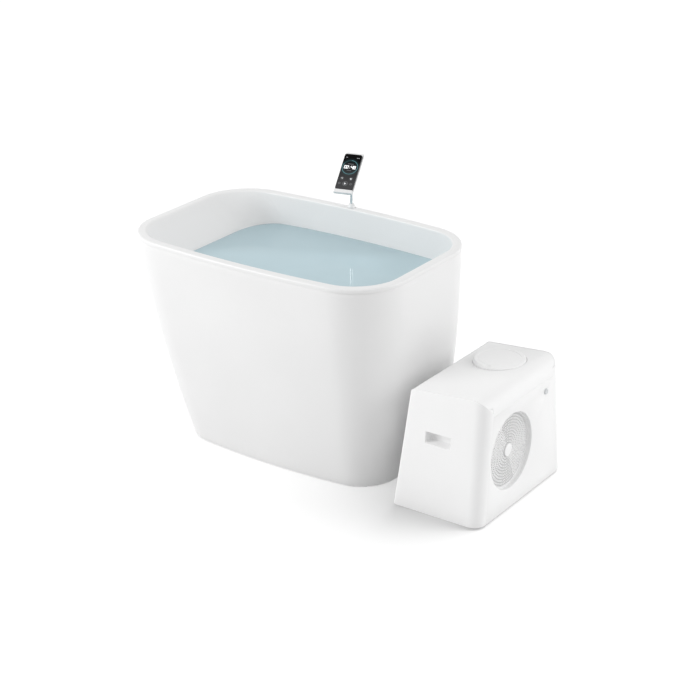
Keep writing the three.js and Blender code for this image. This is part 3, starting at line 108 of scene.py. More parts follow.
# Chiller casing, from its own origin on the floor
CASE_DEPTH, CASE_WIDTH = 344, 582
CHILLER_GAP = 54
CHILLER_X = RIM_LENGTH / 2 + CHILLER_GAP + CASE_DEPTH / 2
CHILLER_Y = -7
FRONT_TOP, BACK_TOP = 457, 432
CASE_FOOT = 8
LEAN_FRONT, LEAN_BACK, LEAN_END = 8, 40, 46
CASE_CORNER, BACK_CORNER = 45, 16
FRONT_ROUND, BACK_ROUND = 55, 25
PANEL, PANEL_EDGE, EDGE_RADIANS = 4, 0.8, 1.0
END_LIP = 0.6
SEAM_IN = 48
TOP_SEAM = 390
GRIP_X, GRIP_Z = -10, 279
GRIP_WIDTH, GRIP_HEIGHT, GRIP_DEPTH = 100, 42, 34
# The hand recess from its edge to its floor: inset, corner radius and share of the depth
GRIP_STAGES = ((2.0, 9.0, 0.12), (3.0, 10.0, 0.9), (5.0, 10.0, 0.97), (8.0, 9.0, 1.0))
FAN_Y, FAN_Z, FAN_HOLE, FAN_BAND = -78, 217, 272, 1
SHROUD_FRONT = 161.3
GRILLE_HUB, GRILLE_BORDER = 20, 5
GRILLE_HOLE, GRILLE_SIDES = 0.25, 12
HUB_DISC, HUB_ROUND, HUB_ARC, HUB_ROWS = 23, 3, 80, 6
FILTER_X, FILTER_Y, CAP, CAP_HOLE, CAP_EDGE = 9, 100, 184, 186.4, 1
CAP_NOTCH, CAP_ROUND, NOTCH_SLOPE = 26, 6, 1.8
SKIRT_IN, SKIRT_HEIGHT = 20.6, 18
# The ring on the cap's top: inset from its edge and depth
CAP_RING = ((16, 0), (17, 0.8), (18, 0.8), (19, 0))
BUTTON_Y, BUTTON_Z, BUTTON, BUTTON_FLANGE, BUTTON_ROUND = 150, 350, 20, 14, 1
# The button's dish: inset from its edge and depth
BUTTON_DISH = ((2.5, 0), (4, 0.7), (BUTTON / 2, 1))
CORNER_COLUMNS, GRIP_COLUMNS, FACE_COLUMNS = 12, 12, 5
FOOT_ROWS, GRIP_ROWS, SEAM_ROWS, TOP_ROWS = 6, 6, 4, 10
TOP_COLUMNS, EDGE_ROWS, SIDE_STEPS = 24, 48, 8
HOLE_STEPS, SMALL_STEPS, CAP_STEPS, BUTTON_STEPS, BUTTON_ROWS = 128, 48, 240, 64, 4
HALVINGS, INWARD, NEAR = 30, 0.9999, 0.01

# Finishes
CLOUDING = 0.03
DUST_COLOUR, DUST_HEIGHTS = (0.45, 0.44, 0.42), (0.004, 0.05)

# Stage, in metres and degrees. The camera was fitted to the tub's outline in the photo.
LAMP_SIZE, LAMP_AIM = 4.0, (0.2, 0, 0.4)
KEY_PLACE, FILL_PLACE, FILL_SHARE = (-4.4, -5.0, 3.4), (6.0, 3.0, 3.4), 0.58
SUN_ANGLE, SUN_WAY = 65, (-0.35, -0.51, -0.78)
SUN_BLOCKERS = ("near_cheek", "far_cheek", "fan_face", "case_top", "back_panel")
STAGE_HALF, STAGE_DROP = 60.0, 0.0008
STAGE_GREY, STAGE_ROUGH, STAGE_GLOW = 0.27, 0.9, 0.325
CAMERA_PLACE = (3.6769, -4.9909, 3.0087)
CAMERA_AZIMUTH, CAMERA_ELEVATION = 34.676, 23.431
SENSOR_WIDTH, FOCAL_PX, IMAGE_PX = 36.0, 1854.65, 700

# What every colour setting says
COLOUR = {"subtype": "COLOR", "size": 3}


class PlungeTubLook(bpy.types.PropertyGroup):
    """Water level and colours of the tub."""

    water_level: FloatProperty(
        name="Water level", description="Height of the water above the floor", default=0.655, unit="LENGTH"
    )
    water_colour: FloatVectorProperty(
        name="Water", description="Colour of the water", default=(0.53, 0.685, 0.74), **COLOUR
    )
    shell_colour: FloatVectorProperty(
        name="Shell", description="Colour of the moulded shell", default=(0.79, 0.79, 0.79), **COLOUR
    )


class PlungeChillerLook(bpy.types.PropertyGroup):
    """Colour and grille of the chiller."""

    case_colour: FloatVectorProperty(
        name="Case", description="Colour of the casing", default=(0.87, 0.87, 0.87), **COLOUR
    )
    grille_rows: IntProperty(
        name="Grille rows", description="Rows of holes in the fan grille", default=11, min=4
    )


class PlungeHandsetLook(bpy.types.PropertyGroup):
    """Colour of the timer on the handset's screen."""

    ring_colour: FloatVectorProperty(
        name="Ring", description="Colour of the timer's ring", default=(0.08, 0.19, 0.21), **COLOUR
    )


class PlungeStageLook(bpy.types.PropertyGroup):
    """Light of the stage."""

    world_light: FloatProperty(name="World", description="Strength of the even light", default=0.74)
    sun_light: FloatProperty(name="Ground sun", description="Strength of the floor's own sun", default=6.7)
    key_light: FloatProperty(
        name="Key", description="Power of the large soft lamp", default=250.0, unit="POWER"
    )


def lerp(a, b, t):
    return a + (b - a) * t


def spread(low, high, count):
    """Even steps from low to high, with both."""
    return [lerp(low, high, i / count) for i in range(count + 1)]


def clamped(value, limit):
    return max(-limit, min(limit, value))


def plug(socket, value):
    """Links a changing value to a socket, or sets a plain one."""
    if isinstance(value, Shade):
        value.tree.links.new(value.socket, socket)
    else:
        socket.default_value = value


class Shade:
    """One output socket of a node tree, with Python arithmetic."""

    def __init__(self, tree, socket):
        self.tree = tree
        self.socket = socket

    def make(self, kind, settings=None, output=0, **inputs):
        """A new node of this type, with its settings and its sockets, by name or by i and their index."""
        node = self.tree.nodes.new(kind)
        for key, value in (settings or {}).items():
            setattr(node, key, value)
        for key, value in inputs.items():
            by_index = key[0] == "i" and key[1:].isdigit()
            plug(node.inputs[int(key[1:]) if by_index else key], value)
        return Shade(self.tree, node.outputs[output])

    def math(self, operation, a, b=0.0):
        return self.make("ShaderNodeMath", {"operation": operation}, i0=a, i1=b)

    def __add__(self, other):
        return self.math("ADD", self, other)

    __radd__ = __add__

    def __sub__(self, other):
        return self.math("SUBTRACT", self, other)

    def __rsub__(self, other):
        return self.math("SUBTRACT", other, self)

    def __mul__(self, other):
        return self.math("MULTIPLY", self, other)

    __rmul__ = __mul__

    def smooth(self, low, high):
        """0 below low, 1 above high, and an even step between them."""
        settings = {"interpolation_type": "SMOOTHSTEP"}
        return self.make("ShaderNodeMapRange", settings, Value=self, **{"From Min": low, "From Max": high})

    def between(self, a, b):
        """Colour a where this is 0, and colour b where it is 1."""
        return self.make("ShaderNodeMix", {"data_type": "RGBA"}, output=2, i0=self, i6=a, i7=b)


def rgba(colour, gain=1.0):
    return (*[min(1.0, c * gain) for c in colour[:3]], 1.0)


def feed(shader, sockets):
    """Links or sets a shader's sockets."""
    for name, value in sockets.items():
        plug(shader.inputs[name], value)


def finish(name, recipe, *args, **options):
    """A material, made anew, its shader fed with what a recipe makes of Object coordinates."""
    material = bpy.data.materials.get(name) or bpy.data.materials.new(name)
    material.use_nodes = True
    tree = material.node_tree
    tree.nodes.clear()
    shader = tree.nodes.new("ShaderNodeBsdfPrincipled")
    output = tree.nodes.new("ShaderNodeOutputMaterial")
    tree.links.new(shader.outputs[0], output.inputs[0])
    coords = Shade(tree, tree.nodes.new("ShaderNodeTexCoord").outputs["Object"])
    feed(shader, recipe(coords, *args, **options))
    return material


def noise(coords, scale, detail=3.0, roughness=0.5):
    return coords.make("ShaderNodeTexNoise", Vector=coords, Scale=scale, Detail=detail, Roughness=roughness)


def bump(coords, height, strength, distance):
    return coords.make("ShaderNodeBump", Height=height, Strength=strength, Distance=distance)


def axis_of(coords, axis):
    return coords.make("ShaderNodeSeparateXYZ", output=axis, Vector=coords)


def moulded(coords, colour, rough, grain, depth=0.0002, coat=0.0, dust=0.1):
    """Moulded plastic: slight clouding, uneven gloss, a fine grain and a little dust near the floor."""
    clouds = noise(coords, scale=3.5, detail=1.0)
    tone = clouds.between(rgba(colour, 1 - CLOUDING), rgba(colour, 1 + CLOUDING))
    low = 1 - axis_of(coords, 2).smooth(*DUST_HEIGHTS)
    tone = (low * noise(coords, scale=60.0) * dust).between(tone, rgba(DUST_COLOUR))
    uneven = noise(coords, scale=14.0, detail=1.0) - 0.5
    relief = bump(coords, noise(coords, scale=grain, detail=2.0), strength=0.25, distance=depth)
    gloss = {"Roughness": rough + uneven * 0.12, "Coat Weight": coat, "Coat Roughness": 0.12}
    return {"Base Color": tone, "Normal": relief, **gloss}


def metal(coords, colour, rough, stretch=(1.0, 1.0, 1.0)):
    """Bare metal with fine drawn or brushed lines."""
    lines = coords.make("ShaderNodeMapping", Vector=coords, Scale=stretch)
    brush = noise(lines, scale=260.0, detail=4.0, roughness=0.6)
    tone = brush.between(rgba(colour, 0.9), rgba(colour, 1.05))
    relief = bump(coords, brush, strength=0.15, distance=0.0002)
    return {"Base Color": tone, "Metallic": 1.0, "Roughness": rough + (brush - 0.5) * 0.2, "Normal": relief}


def chrome(coords):
    """Polished plating with faint finger marks."""
    marks = noise(coords, scale=40.0, detail=4.0).smooth(0.55, 0.75)
    tone = marks.between(rgba((0.80, 0.80, 0.80)), rgba((0.72, 0.72, 0.72)))
    return {"Base Color": tone, "Metallic": 1.0, "Roughness": 0.06 + marks * 0.12}


def foam(coords):
    """Closed-cell foam."""
    cells = coords.make("ShaderNodeTexVoronoi", Vector=coords, Scale=420.0)
    tone = cells.smooth(0.0, 0.6).between(rgba((0.72, 0.63, 0.40)), rgba((0.80, 0.72, 0.50)))
    return {"Base Color": tone, "Roughness": 0.9, "Normal": bump(coords, cells, strength=0.4, distance=0.001)}


def fins(coords):
    """Thin upright fins on the condenser, with painted shade in the gaps between them."""
    rows = coords.make("ShaderNodeTexWave", {"bands_direction": "Y"}, Vector=coords, Scale=160.0)
    # Painted shade: the dark bands are the shaded gaps between the fins, the light bands the fins.
    tone = rows.between(rgba((0.22, 0.23, 0.24)), rgba((0.66, 0.67, 0.68)))
    relief = bump(coords, rows, strength=0.8, distance=0.001)
    return {"Base Color": tone, "Metallic": 0.9, "Roughness": 0.4, "Normal": relief}


def sheet(coords):
    """Filter sheet with fine fibres."""
    fibres = noise(coords, scale=700.0, detail=5.0, roughness=0.7)
    tone = fibres.between(rgba((0.70, 0.76, 0.79)), rgba((0.82, 0.87, 0.89)))
    relief = bump(coords, fibres, strength=0.5, distance=0.0006)
    return {"Base Color": tone, "Roughness": 0.92, "Normal": relief}


def water(coords, colour):
    """Still water: a glossy top, slow ripples, and painted shade that darkens it at the back, towards the
    back rest.
    """
    swirl = noise(coords, scale=5.0, detail=2.0).smooth(0.25, 0.75)
    tone = swirl.between(rgba(colour, 0.99), rgba(colour, 1.04))
    # Painted shade: the water is darker at the back, where the basin's back corner lies in shade under it.
    near = (axis_of(coords, 0) * 0.55 - axis_of(coords, 1)).smooth(-0.22, -0.08)
    tone = near.between(rgba(colour, 0.93), tone)
    ripple = bump(coords, noise(coords, scale=9.0, detail=2.0), strength=0.12, distance=0.004)
    return {"Base Color": tone, "Roughness": 0.05, "Alpha": 0.86, "Normal": ripple, "IOR": 1.33}


def screen(coords):
    """Glass over a lit screen. The picture on it is the piece's own colour attribute."""
    picture = coords.make("ShaderNodeVertexColor", {"layer_name": "screen_picture"})
    smear = noise(coords, scale=30.0, detail=4.0).smooth(0.5, 0.8)
    glow = {"Emission Color": picture, "Emission Strength": 0.6}
    return {"Base Color": picture, "Roughness": 0.08 + smear * 0.08, "Specular IOR Level": 0.03, **glow}


def slot_finishes():
    """One finish for each material slot of the record."""
    shell = bpy.context.scene.plunge_tub.shell_colour
    case = bpy.context.scene.plunge_chiller.case_colour
    black, dark = (0.012, 0.012, 0.013), (0.018, 0.019, 0.021)
    return {
        "white_gloss": finish("shell_gloss", moulded, shell, rough=0.38, grain=90.0, coat=0.25),
        "white_case": finish("case_satin", moulded, case, rough=0.46, grain=900.0),
        "foam": finish("wall_foam", foam),
        "board": finish("base_board", moulded, (0.05, 0.052, 0.055), rough=0.7, grain=300.0, depth=0.0005),
        "grey_plastic": finish("grey_plastic", moulded, (0.62, 0.64, 0.65), rough=0.5, grain=700.0),
        "dark_plastic": finish("dark_plastic", moulded, dark, rough=0.45, grain=800.0, dust=0.04),
        "rubber": finish("foot_rubber", moulded, black, rough=0.85, grain=500.0, depth=0.0004),
        "chrome": finish("post_chrome", chrome),
        "steel": finish("brushed_steel", metal, (0.60, 0.61, 0.62), rough=0.34, stretch=(1.0, 1.0, 12.0)),
        "aluminium": finish("condenser_fins", fins),
        "copper": finish("copper_tube", metal, (0.62, 0.30, 0.16), rough=0.32),
        "black_paint": finish("black_enamel", moulded, black, rough=0.4, grain=300.0, coat=0.3),
        "screen": finish("handset_screen", screen),
        "paper": finish("filter_sheet", sheet),
        "blue_plastic": finish("lever_blue", moulded, (0.04, 0.13, 0.24), rough=0.45, grain=700.0),
    }


FINISHES = {}


def finish_of(slot):
    if not FINISHES:
        FINISHES.update(slot_finishes())
    return FINISHES[slot]


def placed(name, data):
    """A new object in the scene."""
    obj = bpy.data.objects.new(name, data)
    bpy.context.scene.collection.objects.link(obj)
    return obj


def moved(bm, matrix):
    bmesh.ops.transform(bm, matrix=matrix, verts=bm.verts)
    return bm


def fit_to(bm, *nodes):
    """Brings a piece's box exactly onto the box of the solids that it stands for."""
    boxes = [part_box(node) for node in nodes]
    for axis in range(3):
        low = min(b[0][axis] for b in boxes)
        high = max(b[1][axis] for b in boxes)
        have = [v.co[axis] for v in bm.verts]
        start = min(have)
        gain = (high - low) / (max(have) - start)
        for v in bm.verts:
            v.co[axis] = low + (v.co[axis] - start) * gain


def piece(name, bm, slot, body, *nodes, place=None, sharp=32, material=None):
    """A bmesh, moved into place, as a shown piece that rides on a body and stands for these solids."""
    if place is not None:
        moved(bm, place)
    bmesh.ops.remove_doubles(bm, verts=bm.verts, dist=WELD)
    bmesh.ops.recalc_face_normals(bm, faces=bm.faces)
    if nodes:
        fit_to(bm, *nodes)
    mesh = bpy.data.meshes.new(name)
    bm.to_mesh(mesh)
    bm.free()
    mesh.shade_smooth()
    mesh.set_sharp_from_angle(angle=math.radians(sharp))
    obj = placed(name, mesh)
    mesh.materials.append(material or finish_of(slot))
    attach(obj, body)
    if nodes:
        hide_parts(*nodes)


def loop_of(bm, points):
    """A closed loop of edges through these points, given in millimetres."""
    verts = [bm.verts.new(Vector(p).to_3d() * MM) for p in points]
    return [bm.edges.new(pair) for pair in zip(verts, verts[1:] + verts[:1])]


def skin(bm, rings, ends=False, round_trip=False):
    """A plain tube of bridged circles, each then moved onto its ring of points, given in millimetres.

    The ends are filled, or the last ring meets the first.
    """
    loops = []
    for k in range(len(rings)):
        place = Matrix.Translation((0, 0, k))
        made = bmesh.ops.create_circle(bm, segments=len(rings[0]), radius=1.0, matrix=place)
        loops.append(made["verts"])
    edges = [[bm.edges.get(pair) for pair in zip(loop, loop[1:] + loop[:1])] for loop in loops]
    pairs = list(zip(edges, edges[1:]))
    if round_trip:
        pairs.append((edges[-1], edges[0]))
    for low, high in pairs:
        bmesh.ops.bridge_loops(bm, edges=low + high)
    if ends:
        for loop in (edges[0], edges[-1]):
            bmesh.ops.edgeloop_fill(bm, edges=loop)
    for loop, ring in zip(loops, rings):
        for v, point in zip(loop, ring):
            v.co = Vector(point) * MM


def turned(profile, steps=96):
    """A profile of [radius, height] points, spun round the Z axis."""
    bm = bmesh.new()
    verts = [bm.verts.new((r * MM, 0, z * MM)) for r, z in profile]
    edges = [bm.edges.new(pair) for pair in zip(verts, verts[1:])]
    about = {"axis": (0, 0, 1), "cent": (0, 0, 0), "angle": math.tau}
    bmesh.ops.spin(bm, geom=verts + edges, steps=steps, use_merge=True, **about)
    bmesh.ops.remove_doubles(bm, verts=bm.verts, dist=TINY)
    return bm


def arc(cx, cz, radius, start, end, steps):
    """Points on an arc, with its angles in degrees."""
    angles = [math.radians(a) for a in spread(start, end, steps)]
    return [(cx + radius * math.cos(a), cz + radius * math.sin(a)) for a in angles]


def circle(cx, cy, radius, steps):
    return arc(cx, cy, radius, 0, 360, steps)[:-1]


def grid(bm, columns, rows):
    """A new grid of faces, as a list of its vertices with their column and row."""
    made = bmesh.ops.create_grid(bm, x_segments=columns, y_segments=rows, size=1.0)["verts"]
    return [(v, round((v.co.x + 1) / 2 * columns), round((v.co.y + 1) / 2 * rows)) for v in made]


BEVEL = {"offset_type": "OFFSET", "profile": 0.5, "material": -1}


def plate(width, length, corner, thick, edge):
    """A flat plate with round corners and soft edges, from z = 0 up, around the origin."""
    bm = bmesh.new()
    bmesh.ops.create_grid(bm, x_segments=1, y_segments=1, size=0.5)
    bmesh.ops.scale(bm, vec=(width * MM, length * MM, 1), verts=bm.verts)
    bmesh.ops.bevel(bm, geom=bm.verts[:], offset=corner * MM, segments=10, affect="VERTICES", **BEVEL)
    made = bmesh.ops.extrude_face_region(bm, geom=bm.faces[:])
    raised = [v for v in made["geom"] if isinstance(v, bmesh.types.BMVert)]
    bmesh.ops.translate(bm, vec=(0, 0, thick * MM), verts=raised)
    rims = [e for e in bm.edges if abs(e.verts[0].co.z - e.verts[1].co.z) < TINY]
    bmesh.ops.recalc_face_normals(bm, faces=bm.faces)
    bmesh.ops.bevel(bm, geom=rims, offset=edge * MM, segments=3, affect="EDGES", **BEVEL)
    return bm


def thicken(bm, axis, side=1):
    """Turns an open sheet to face along an axis, and gives it the panels' thickness behind that face."""
    bmesh.ops.recalc_face_normals(bm, faces=bm.faces)
    if sum(f.normal[axis] * f.calc_area() for f in bm.faces) * side < 0:
        bmesh.ops.reverse_faces(bm, faces=bm.faces)
    bmesh.ops.solidify(bm, geom=bm.faces[:], thickness=PANEL * MM)


def join(into, other, matrix):
    """Adds another bmesh to this one, moved by a matrix."""
    mesh = bpy.data.meshes.new("joined")
    moved(other, matrix).to_mesh(mesh)
    other.free()
    into.from_mesh(mesh)
    bpy.data.meshes.remove(mesh)


def shift(x, y, z):
    return Matrix.Translation(Vector((x, y, z)) * MM)


def rotation(degrees, axis):
    return Matrix.Rotation(math.radians(degrees), 4, axis)


def rounded_ring(half_x, half_y, corner):
    """Points round a rectangle with round corners, anticlockwise from the +X side."""
    x, y = half_x - corner, half_y - corner
    sides = [
        ((half_x, -y), (half_x, y), SHORT_STEPS, (x, y)),
        ((x, half_y), (-x, half_y), LONG_STEPS, (-x, y)),
        ((-half_x, y), (-half_x, -y), SHORT_STEPS, (-x, -y)),
        ((-x, -half_y), (x, -half_y), LONG_STEPS, (x, -y)),
    ]
    points = []
    for side, (start, end, steps, centre) in enumerate(sides):
        for i in range(steps):
            points.append(tuple(lerp(a, b, i / steps) for a, b in zip(start, end)))
        for i in range(CORNER_STEPS):
            angle = (side + i / CORNER_STEPS) * math.pi / 2
            points.append((centre[0] + corner * math.cos(angle), centre[1] + corner * math.sin(angle)))
    return points


def tub_ring(inset, z, backrest=0.0):
    """The tub's outline at one height, moved in from the outer face."""
    t = z / TUB_HEIGHT
    swell = WALL_BULGE * 4 * t * (1 - t) - inset
    centre = BASE_SHIFT * (1 - t)
    half_length = lerp(BASE_LENGTH, RIM_LENGTH, t) / 2 + swell
    half_width = lerp(BASE_WIDTH, RIM_WIDTH, t) / 2 + swell
    corner = lerp(BASE_CORNER, RIM_CORNER, t) + swell
    level = bpy.context.scene.plunge_tub.water_level / MM
    slope = backrest * min(1.0, (TUB_HEIGHT - z) / (TUB_HEIGHT - level))
    ring = []
    for x, y in rounded_ring(half_length, half_width, corner):
        bow = SIDE_BOW * (1 - (x / half_length) ** 2)
        push = slope * max(0.0, -x / half_length) ** 2
        ring.append((centre + x + push, y + math.copysign(bow, y), z))
    return ring


class PLUNGE_OT_tub_walls(bpy.types.Operator):
    """Builds the tub's outer shell and its basin with the rim lip."""

    bl_idname = "plunge.tub_walls"
    bl_label = "Tub walls"

    def execute(self, context):
        lip_in = LIP_WALL - LIP_PROUD
        lip_low = TUB_HEIGHT - LIP_DROP
        groove = lip_low - FIT
        top = TUB_HEIGHT - RIM_SKIN - FIT
        shell = bmesh.new()
        profile = [(SHELL_WALL, SHELL_FOOT), (SHELL_WALL / 2, SHELL_FOOT)]
        profile += [(SHELL_EDGE, SHELL_FOOT + SHELL_EDGE)]
        profile += [(0, z) for z in spread(SHELL_FOOT + SHELL_WALL / 2, groove - LIP_EDGE, WALL_ROWS)]
        profile += [(LIP_CUT, groove - LIP_CUT), (LIP_EDGE, groove), (lip_in + FIT, groove)]
        profile += [(lip_in + FIT, top), (SHELL_WALL, top)]
        profile += [(SHELL_WALL, z) for z in spread(groove, SHELL_FOOT + SHELL_WALL, HIDDEN_ROWS)]
        skin(shell, [tub_ring(inset, z) for inset, z in profile], round_trip=True)
        piece("tub_shell", shell, "white_gloss", "tub", "outer_shell")

        basin = bmesh.new()
        bottom = FLOOR_HEIGHT + FLOOR_ROUND
        far = WALL_DEPTH + FLOOR_ROUND
        under = TUB_HEIGHT - RIM_SKIN
        shoulder = TUB_HEIGHT - CREST_ROUND
        inner = [(far - c, bottom - s) for c, s in arc(0, 0, FLOOR_ROUND + BASIN_WALL, 90, 0, ROUND_ROWS)]
        inner += [(WALL_DEPTH - BASIN_WALL, z) for z in spread(bottom, under, HIDDEN_ROWS)[1:]]
        lip = [(lip_in, under), (lip_in, lip_low), (LIP_EDGE - LIP_PROUD, lip_low)]
        lip += [(LIP_CUT - LIP_PROUD, lip_low + LIP_CUT), (-LIP_PROUD, lip_low + LIP_EDGE)]
        crest = arc(0, 0, CREST_ROUND, 0, 90, ROUND_ROWS)
        lip += [(CREST_ROUND - LIP_PROUD - c, shoulder + s) for c, s in crest]
        crest = arc(0, 0, CREST_ROUND, 90, 0, ROUND_ROWS)
        wall = [(WALL_DEPTH - CREST_ROUND + c, shoulder + s) for c, s in crest]
        wall += [(WALL_DEPTH, z) for z in spread(shoulder, bottom, WALL_ROWS)[1:]]
        wall += [(far - c, bottom - s) for c, s in arc(0, 0, FLOOR_ROUND, 0, 90, FLOOR_ROWS)[1:]]
        parts = ((inner, BACKREST_IN), (lip, 0.0), (wall, BACKREST_IN))
        skin(basin, [tub_ring(inset, z, rest) for points, rest in parts for inset, z in points], ends=True)
        piece("tub_basin", basin, "white_gloss", "tub", "inner_basin")
        return {"FINISHED"}


class PLUNGE_OT_water(bpy.types.Operator):
    """Fills the basin with still water."""

    bl_idname = "plunge.water"
    bl_label = "Water"

    def execute(self, context):
        look = context.scene.plunge_tub
        level = look.water_level / MM
        bm = bmesh.new()
        rings = [tub_ring(WALL_DEPTH + WATER_GAP, z, BACKREST_IN) for z in (level - WATER_THICK, level)]
        skin(bm, rings, ends=True)
        material = finish("tub_water", water, look.water_colour)
        piece("water", bm, "white_gloss", "tub", sharp=20, material=material)
        return {"FINISHED"}


def swivel_place():
    """From the tilt pin's middle, with X along the pin and Z up the post, to the part's axes."""
    return shift(POST_X, POST_Y, TILT_Z) @ rotation(CRADLE_TURN, "Z")


def cradle_place():
    """From the cradle's own axes, along the pin, up the tray and out of its face, to the part's."""
    return swivel_place() @ rotation(90 - CRADLE_LEAN, "X")


class PLUNGE_OT_rim_post(bpy.types.Operator):
    """Builds the post's base and the chrome post with its knuckle."""

    bl_idname = "plunge.rim_post"
    bl_label = "Rim post"

    def execute(self, context):
        low = TUB_HEIGHT + FIT
        radius = POST / 2
        bore = radius + BORE_GAP
        place = shift(POST_X, POST_Y, 0)
        cone = [(bore, low)] + [(r, low + z) for r, z in FOOT_PROFILE]
        cone += [(bore, low + FOOT_PROFILE[-1][1]), (bore, low)]
        piece("post_foot", turned(cone), "white_gloss", "tub", "post_base", place=place)

        rod = [(0, low), (radius - POST_EDGE, low), (radius, low + POST_EDGE), (radius, TILT_Z), (0, TILT_Z)]
        post = moved(turned(rod), place)
        half = KNUCKLE_WIDTH / 2
        knob = [(0, -half), (KNUCKLE / 2 - KNUCKLE_EDGE, -half), (KNUCKLE / 2, KNUCKLE_EDGE - half)]
        knob += [(r, -z) for r, z in reversed(knob)]
        join(post, turned(knob), swivel_place() @ rotation(90, "Y"))
        piece("chrome_post", post, "chrome", "display_post", "display_post")
        return {"FINISHED"}


class PLUNGE_OT_cradle(bpy.types.Operator):
    """Builds the tray with its ledge and its two ears, and the pin."""

    bl_idname = "plunge.cradle"
    bl_label = "Cradle"

    def execute(self, context):
        tray = plate(TRAY_WIDTH, TRAY_LENGTH, TRAY_CORNER, TRAY_THICK, TRAY_EDGE)
        moved(tray, shift(0, TRAY_LENGTH / 2 - TRAY_BELOW, TRAY_STAND))
        depth = TRAY_THICK + LEDGE_DEPTH
        ledge = plate(TRAY_WIDTH - 2 * LEDGE_IN, depth, LEDGE_CORNER, LEDGE_THICK, TRAY_EDGE)
        join(tray, ledge, shift(0, LEDGE_THICK - TRAY_BELOW, TRAY_STAND + depth / 2) @ rotation(90, "X"))
        inside = KNUCKLE_WIDTH / 2 + BORE_GAP
        sideways = rotation(90, "Y")
        face = TRAY_FACE - EAR_SINK
        reach = EAR_ROUND + face
        for x in (-inside - EAR_WALL, inside):
            ear = plate(reach, 2 * EAR_ROUND, EAR_CORNER, EAR_WALL, EAR_EDGE)
            join(tray, ear, shift(x, 0, face - reach / 2) @ sideways)
        piece("tray", tray, "white_gloss", "cradle", "cradle_tray", place=cradle_place())

        end = inside + EAR_WALL
        half = [(0, -end), (PIN_RADIUS - PIN_EDGE, -end), (PIN_RADIUS, PIN_EDGE - end)]
        pin = turned(half + [(r, -z) for r, z in reversed(half)], PIN_STEPS)
        piece("hinge_pin", pin, "steel", "cradle", "tilt_pin", place=cradle_place() @ sideways)
        return {"FINISHED"}


# The seven bars of a digit, lettered as usual from the top round to the middle: middle in half digits
# across and up, and whether it stands
DIGIT_BARS = {
    "a": (0, 1, False),
    "b": (1, 0.5, True),
    "c": (1, -0.5, True),
    "d": (0, -1, False),
    "e": (-1, -0.5, True),
    "f": (-1, 0.5, True),
    "g": (0, 0, False),
}
DIGITS = {"0": "abcdef", "2": "abdeg", "4": "bcfg", "8": "abcdefg"}
TIMER = "02:48"
DIGIT, DIGIT_STROKE, DIGIT_PITCH = 5.8, 1.15, 1.55
TIMER_WHITE = (0.85, 0.87, 0.88)
RING_Y, RING_RADIUS, RING_HALF = 18.6, 29, 0.8
RING_TURN, RING_REST = 300, 0.3
GLOW_REACH, GLOW, GLOW_TINT = 14, 0.02, (0.4, 0.9, 1)
SCREEN_DARK, SCREEN_PALE, SCREEN_TINT = 0.002, 0.038, (1, 1, 1.03)
FADE_GAIN, FADE_START = 1.6, 0.35

# Marks on the screen, from its middle: each colour's bars as middle and half sizes, and each colour's
# circles as middle, radius and half width.
SCREEN_BARS = {
    (0.16, 0.17, 0.18): ((0, RING_Y + 14, 11, 0.8), (0, RING_Y - 14, 9, 0.6)),
    (0.75, 0.77, 0.78): ((-17, -30, 3.2, 1.0), (17, -30, 3.2, 1.0), (17, -30, 1.0, 3.2)),
    (0.3, 0.31, 0.32): ((-22, 60, 3.5, 0.9), (18, 60, 2, 1.1), (24, 60, 2.4, 1.1)),
}
SCREEN_CIRCLES = {
    (0.12, 0.125, 0.13): ((-17, -30, 6, 0.4), (17, -30, 6, 0.4)),
    (0.16, 0.165, 0.17): ((0, -52, 9, 0.5), (-22, -52, 3.5, 0.6), (22, -52, 3.5, 0.6)),
}
PLAY_X, PLAY_Y, PLAY_LENGTH, PLAY_SLOPE = -3, -52, 8, 0.6
PLAY_GREY = (0.5, 0.51, 0.52)


def in_bar(x, y, cx, cy, half_x, half_y):
    return abs(x - cx) <= half_x and abs(y - cy) <= half_y


def on_circle(x, y, cx, cy, radius, half):
    return abs(math.hypot(x - cx, y - cy) - radius) < half


def timer_lit(x, y):
    """Whether a point lies on the timer's digits, which are centred on the origin."""
    for place, sign in enumerate(TIMER):
        cx = (place - (len(TIMER) - 1) / 2) * DIGIT * DIGIT_PITCH
        if sign == ":":
            bars = [(cx, dot, DIGIT_STROKE, DIGIT_STROKE) for dot in (-DIGIT / 2, DIGIT / 2)]
        else:
            bars = []
            for across, up, stands in (DIGIT_BARS[bar] for bar in DIGITS[sign]):
                half = (DIGIT_STROKE, DIGIT / 2 + DIGIT_STROKE)
                bars.append((cx + across * DIGIT / 2, up * DIGIT, *(half if stands else reversed(half))))
        if any(in_bar(x, y, *bar) for bar in bars):
            return True
    return False


def screen_colour(x, y, ring_colour):
    """The colour of the lit screen, from its middle, in millimetres."""
    if on_circle(x, y, 0, RING_Y, RING_RADIUS, RING_HALF):
        turn = math.degrees(math.atan2(x, y - RING_Y)) % 360
        return ring_colour if turn < RING_TURN else [c * RING_REST for c in ring_colour]
    distance = math.hypot(x, y - RING_Y)
    if distance < RING_RADIUS and timer_lit(x, y - RING_Y):
        return TIMER_WHITE
    for marks, hit in ((SCREEN_BARS, in_bar), (SCREEN_CIRCLES, on_circle)):
        for colour, places in marks.items():
            if any(hit(x, y, *place) for place in places):
                return colour
    along = x - PLAY_X
    if 0 <= along <= PLAY_LENGTH and abs(y - PLAY_Y) <= (PLAY_LENGTH - along) * PLAY_SLOPE:
        return PLAY_GREY
    fade = (0.5 - y / HANDSET_LENGTH) * FADE_GAIN - FADE_START
    grey = lerp(SCREEN_DARK, SCREEN_PALE, max(0.0, min(1.0, fade)))
    glow = max(0.0, 1 - abs(distance - RING_RADIUS) / GLOW_REACH) ** 2 * GLOW
    return [grey * base + glow * light for base, light in zip(SCREEN_TINT, GLOW_TINT)]


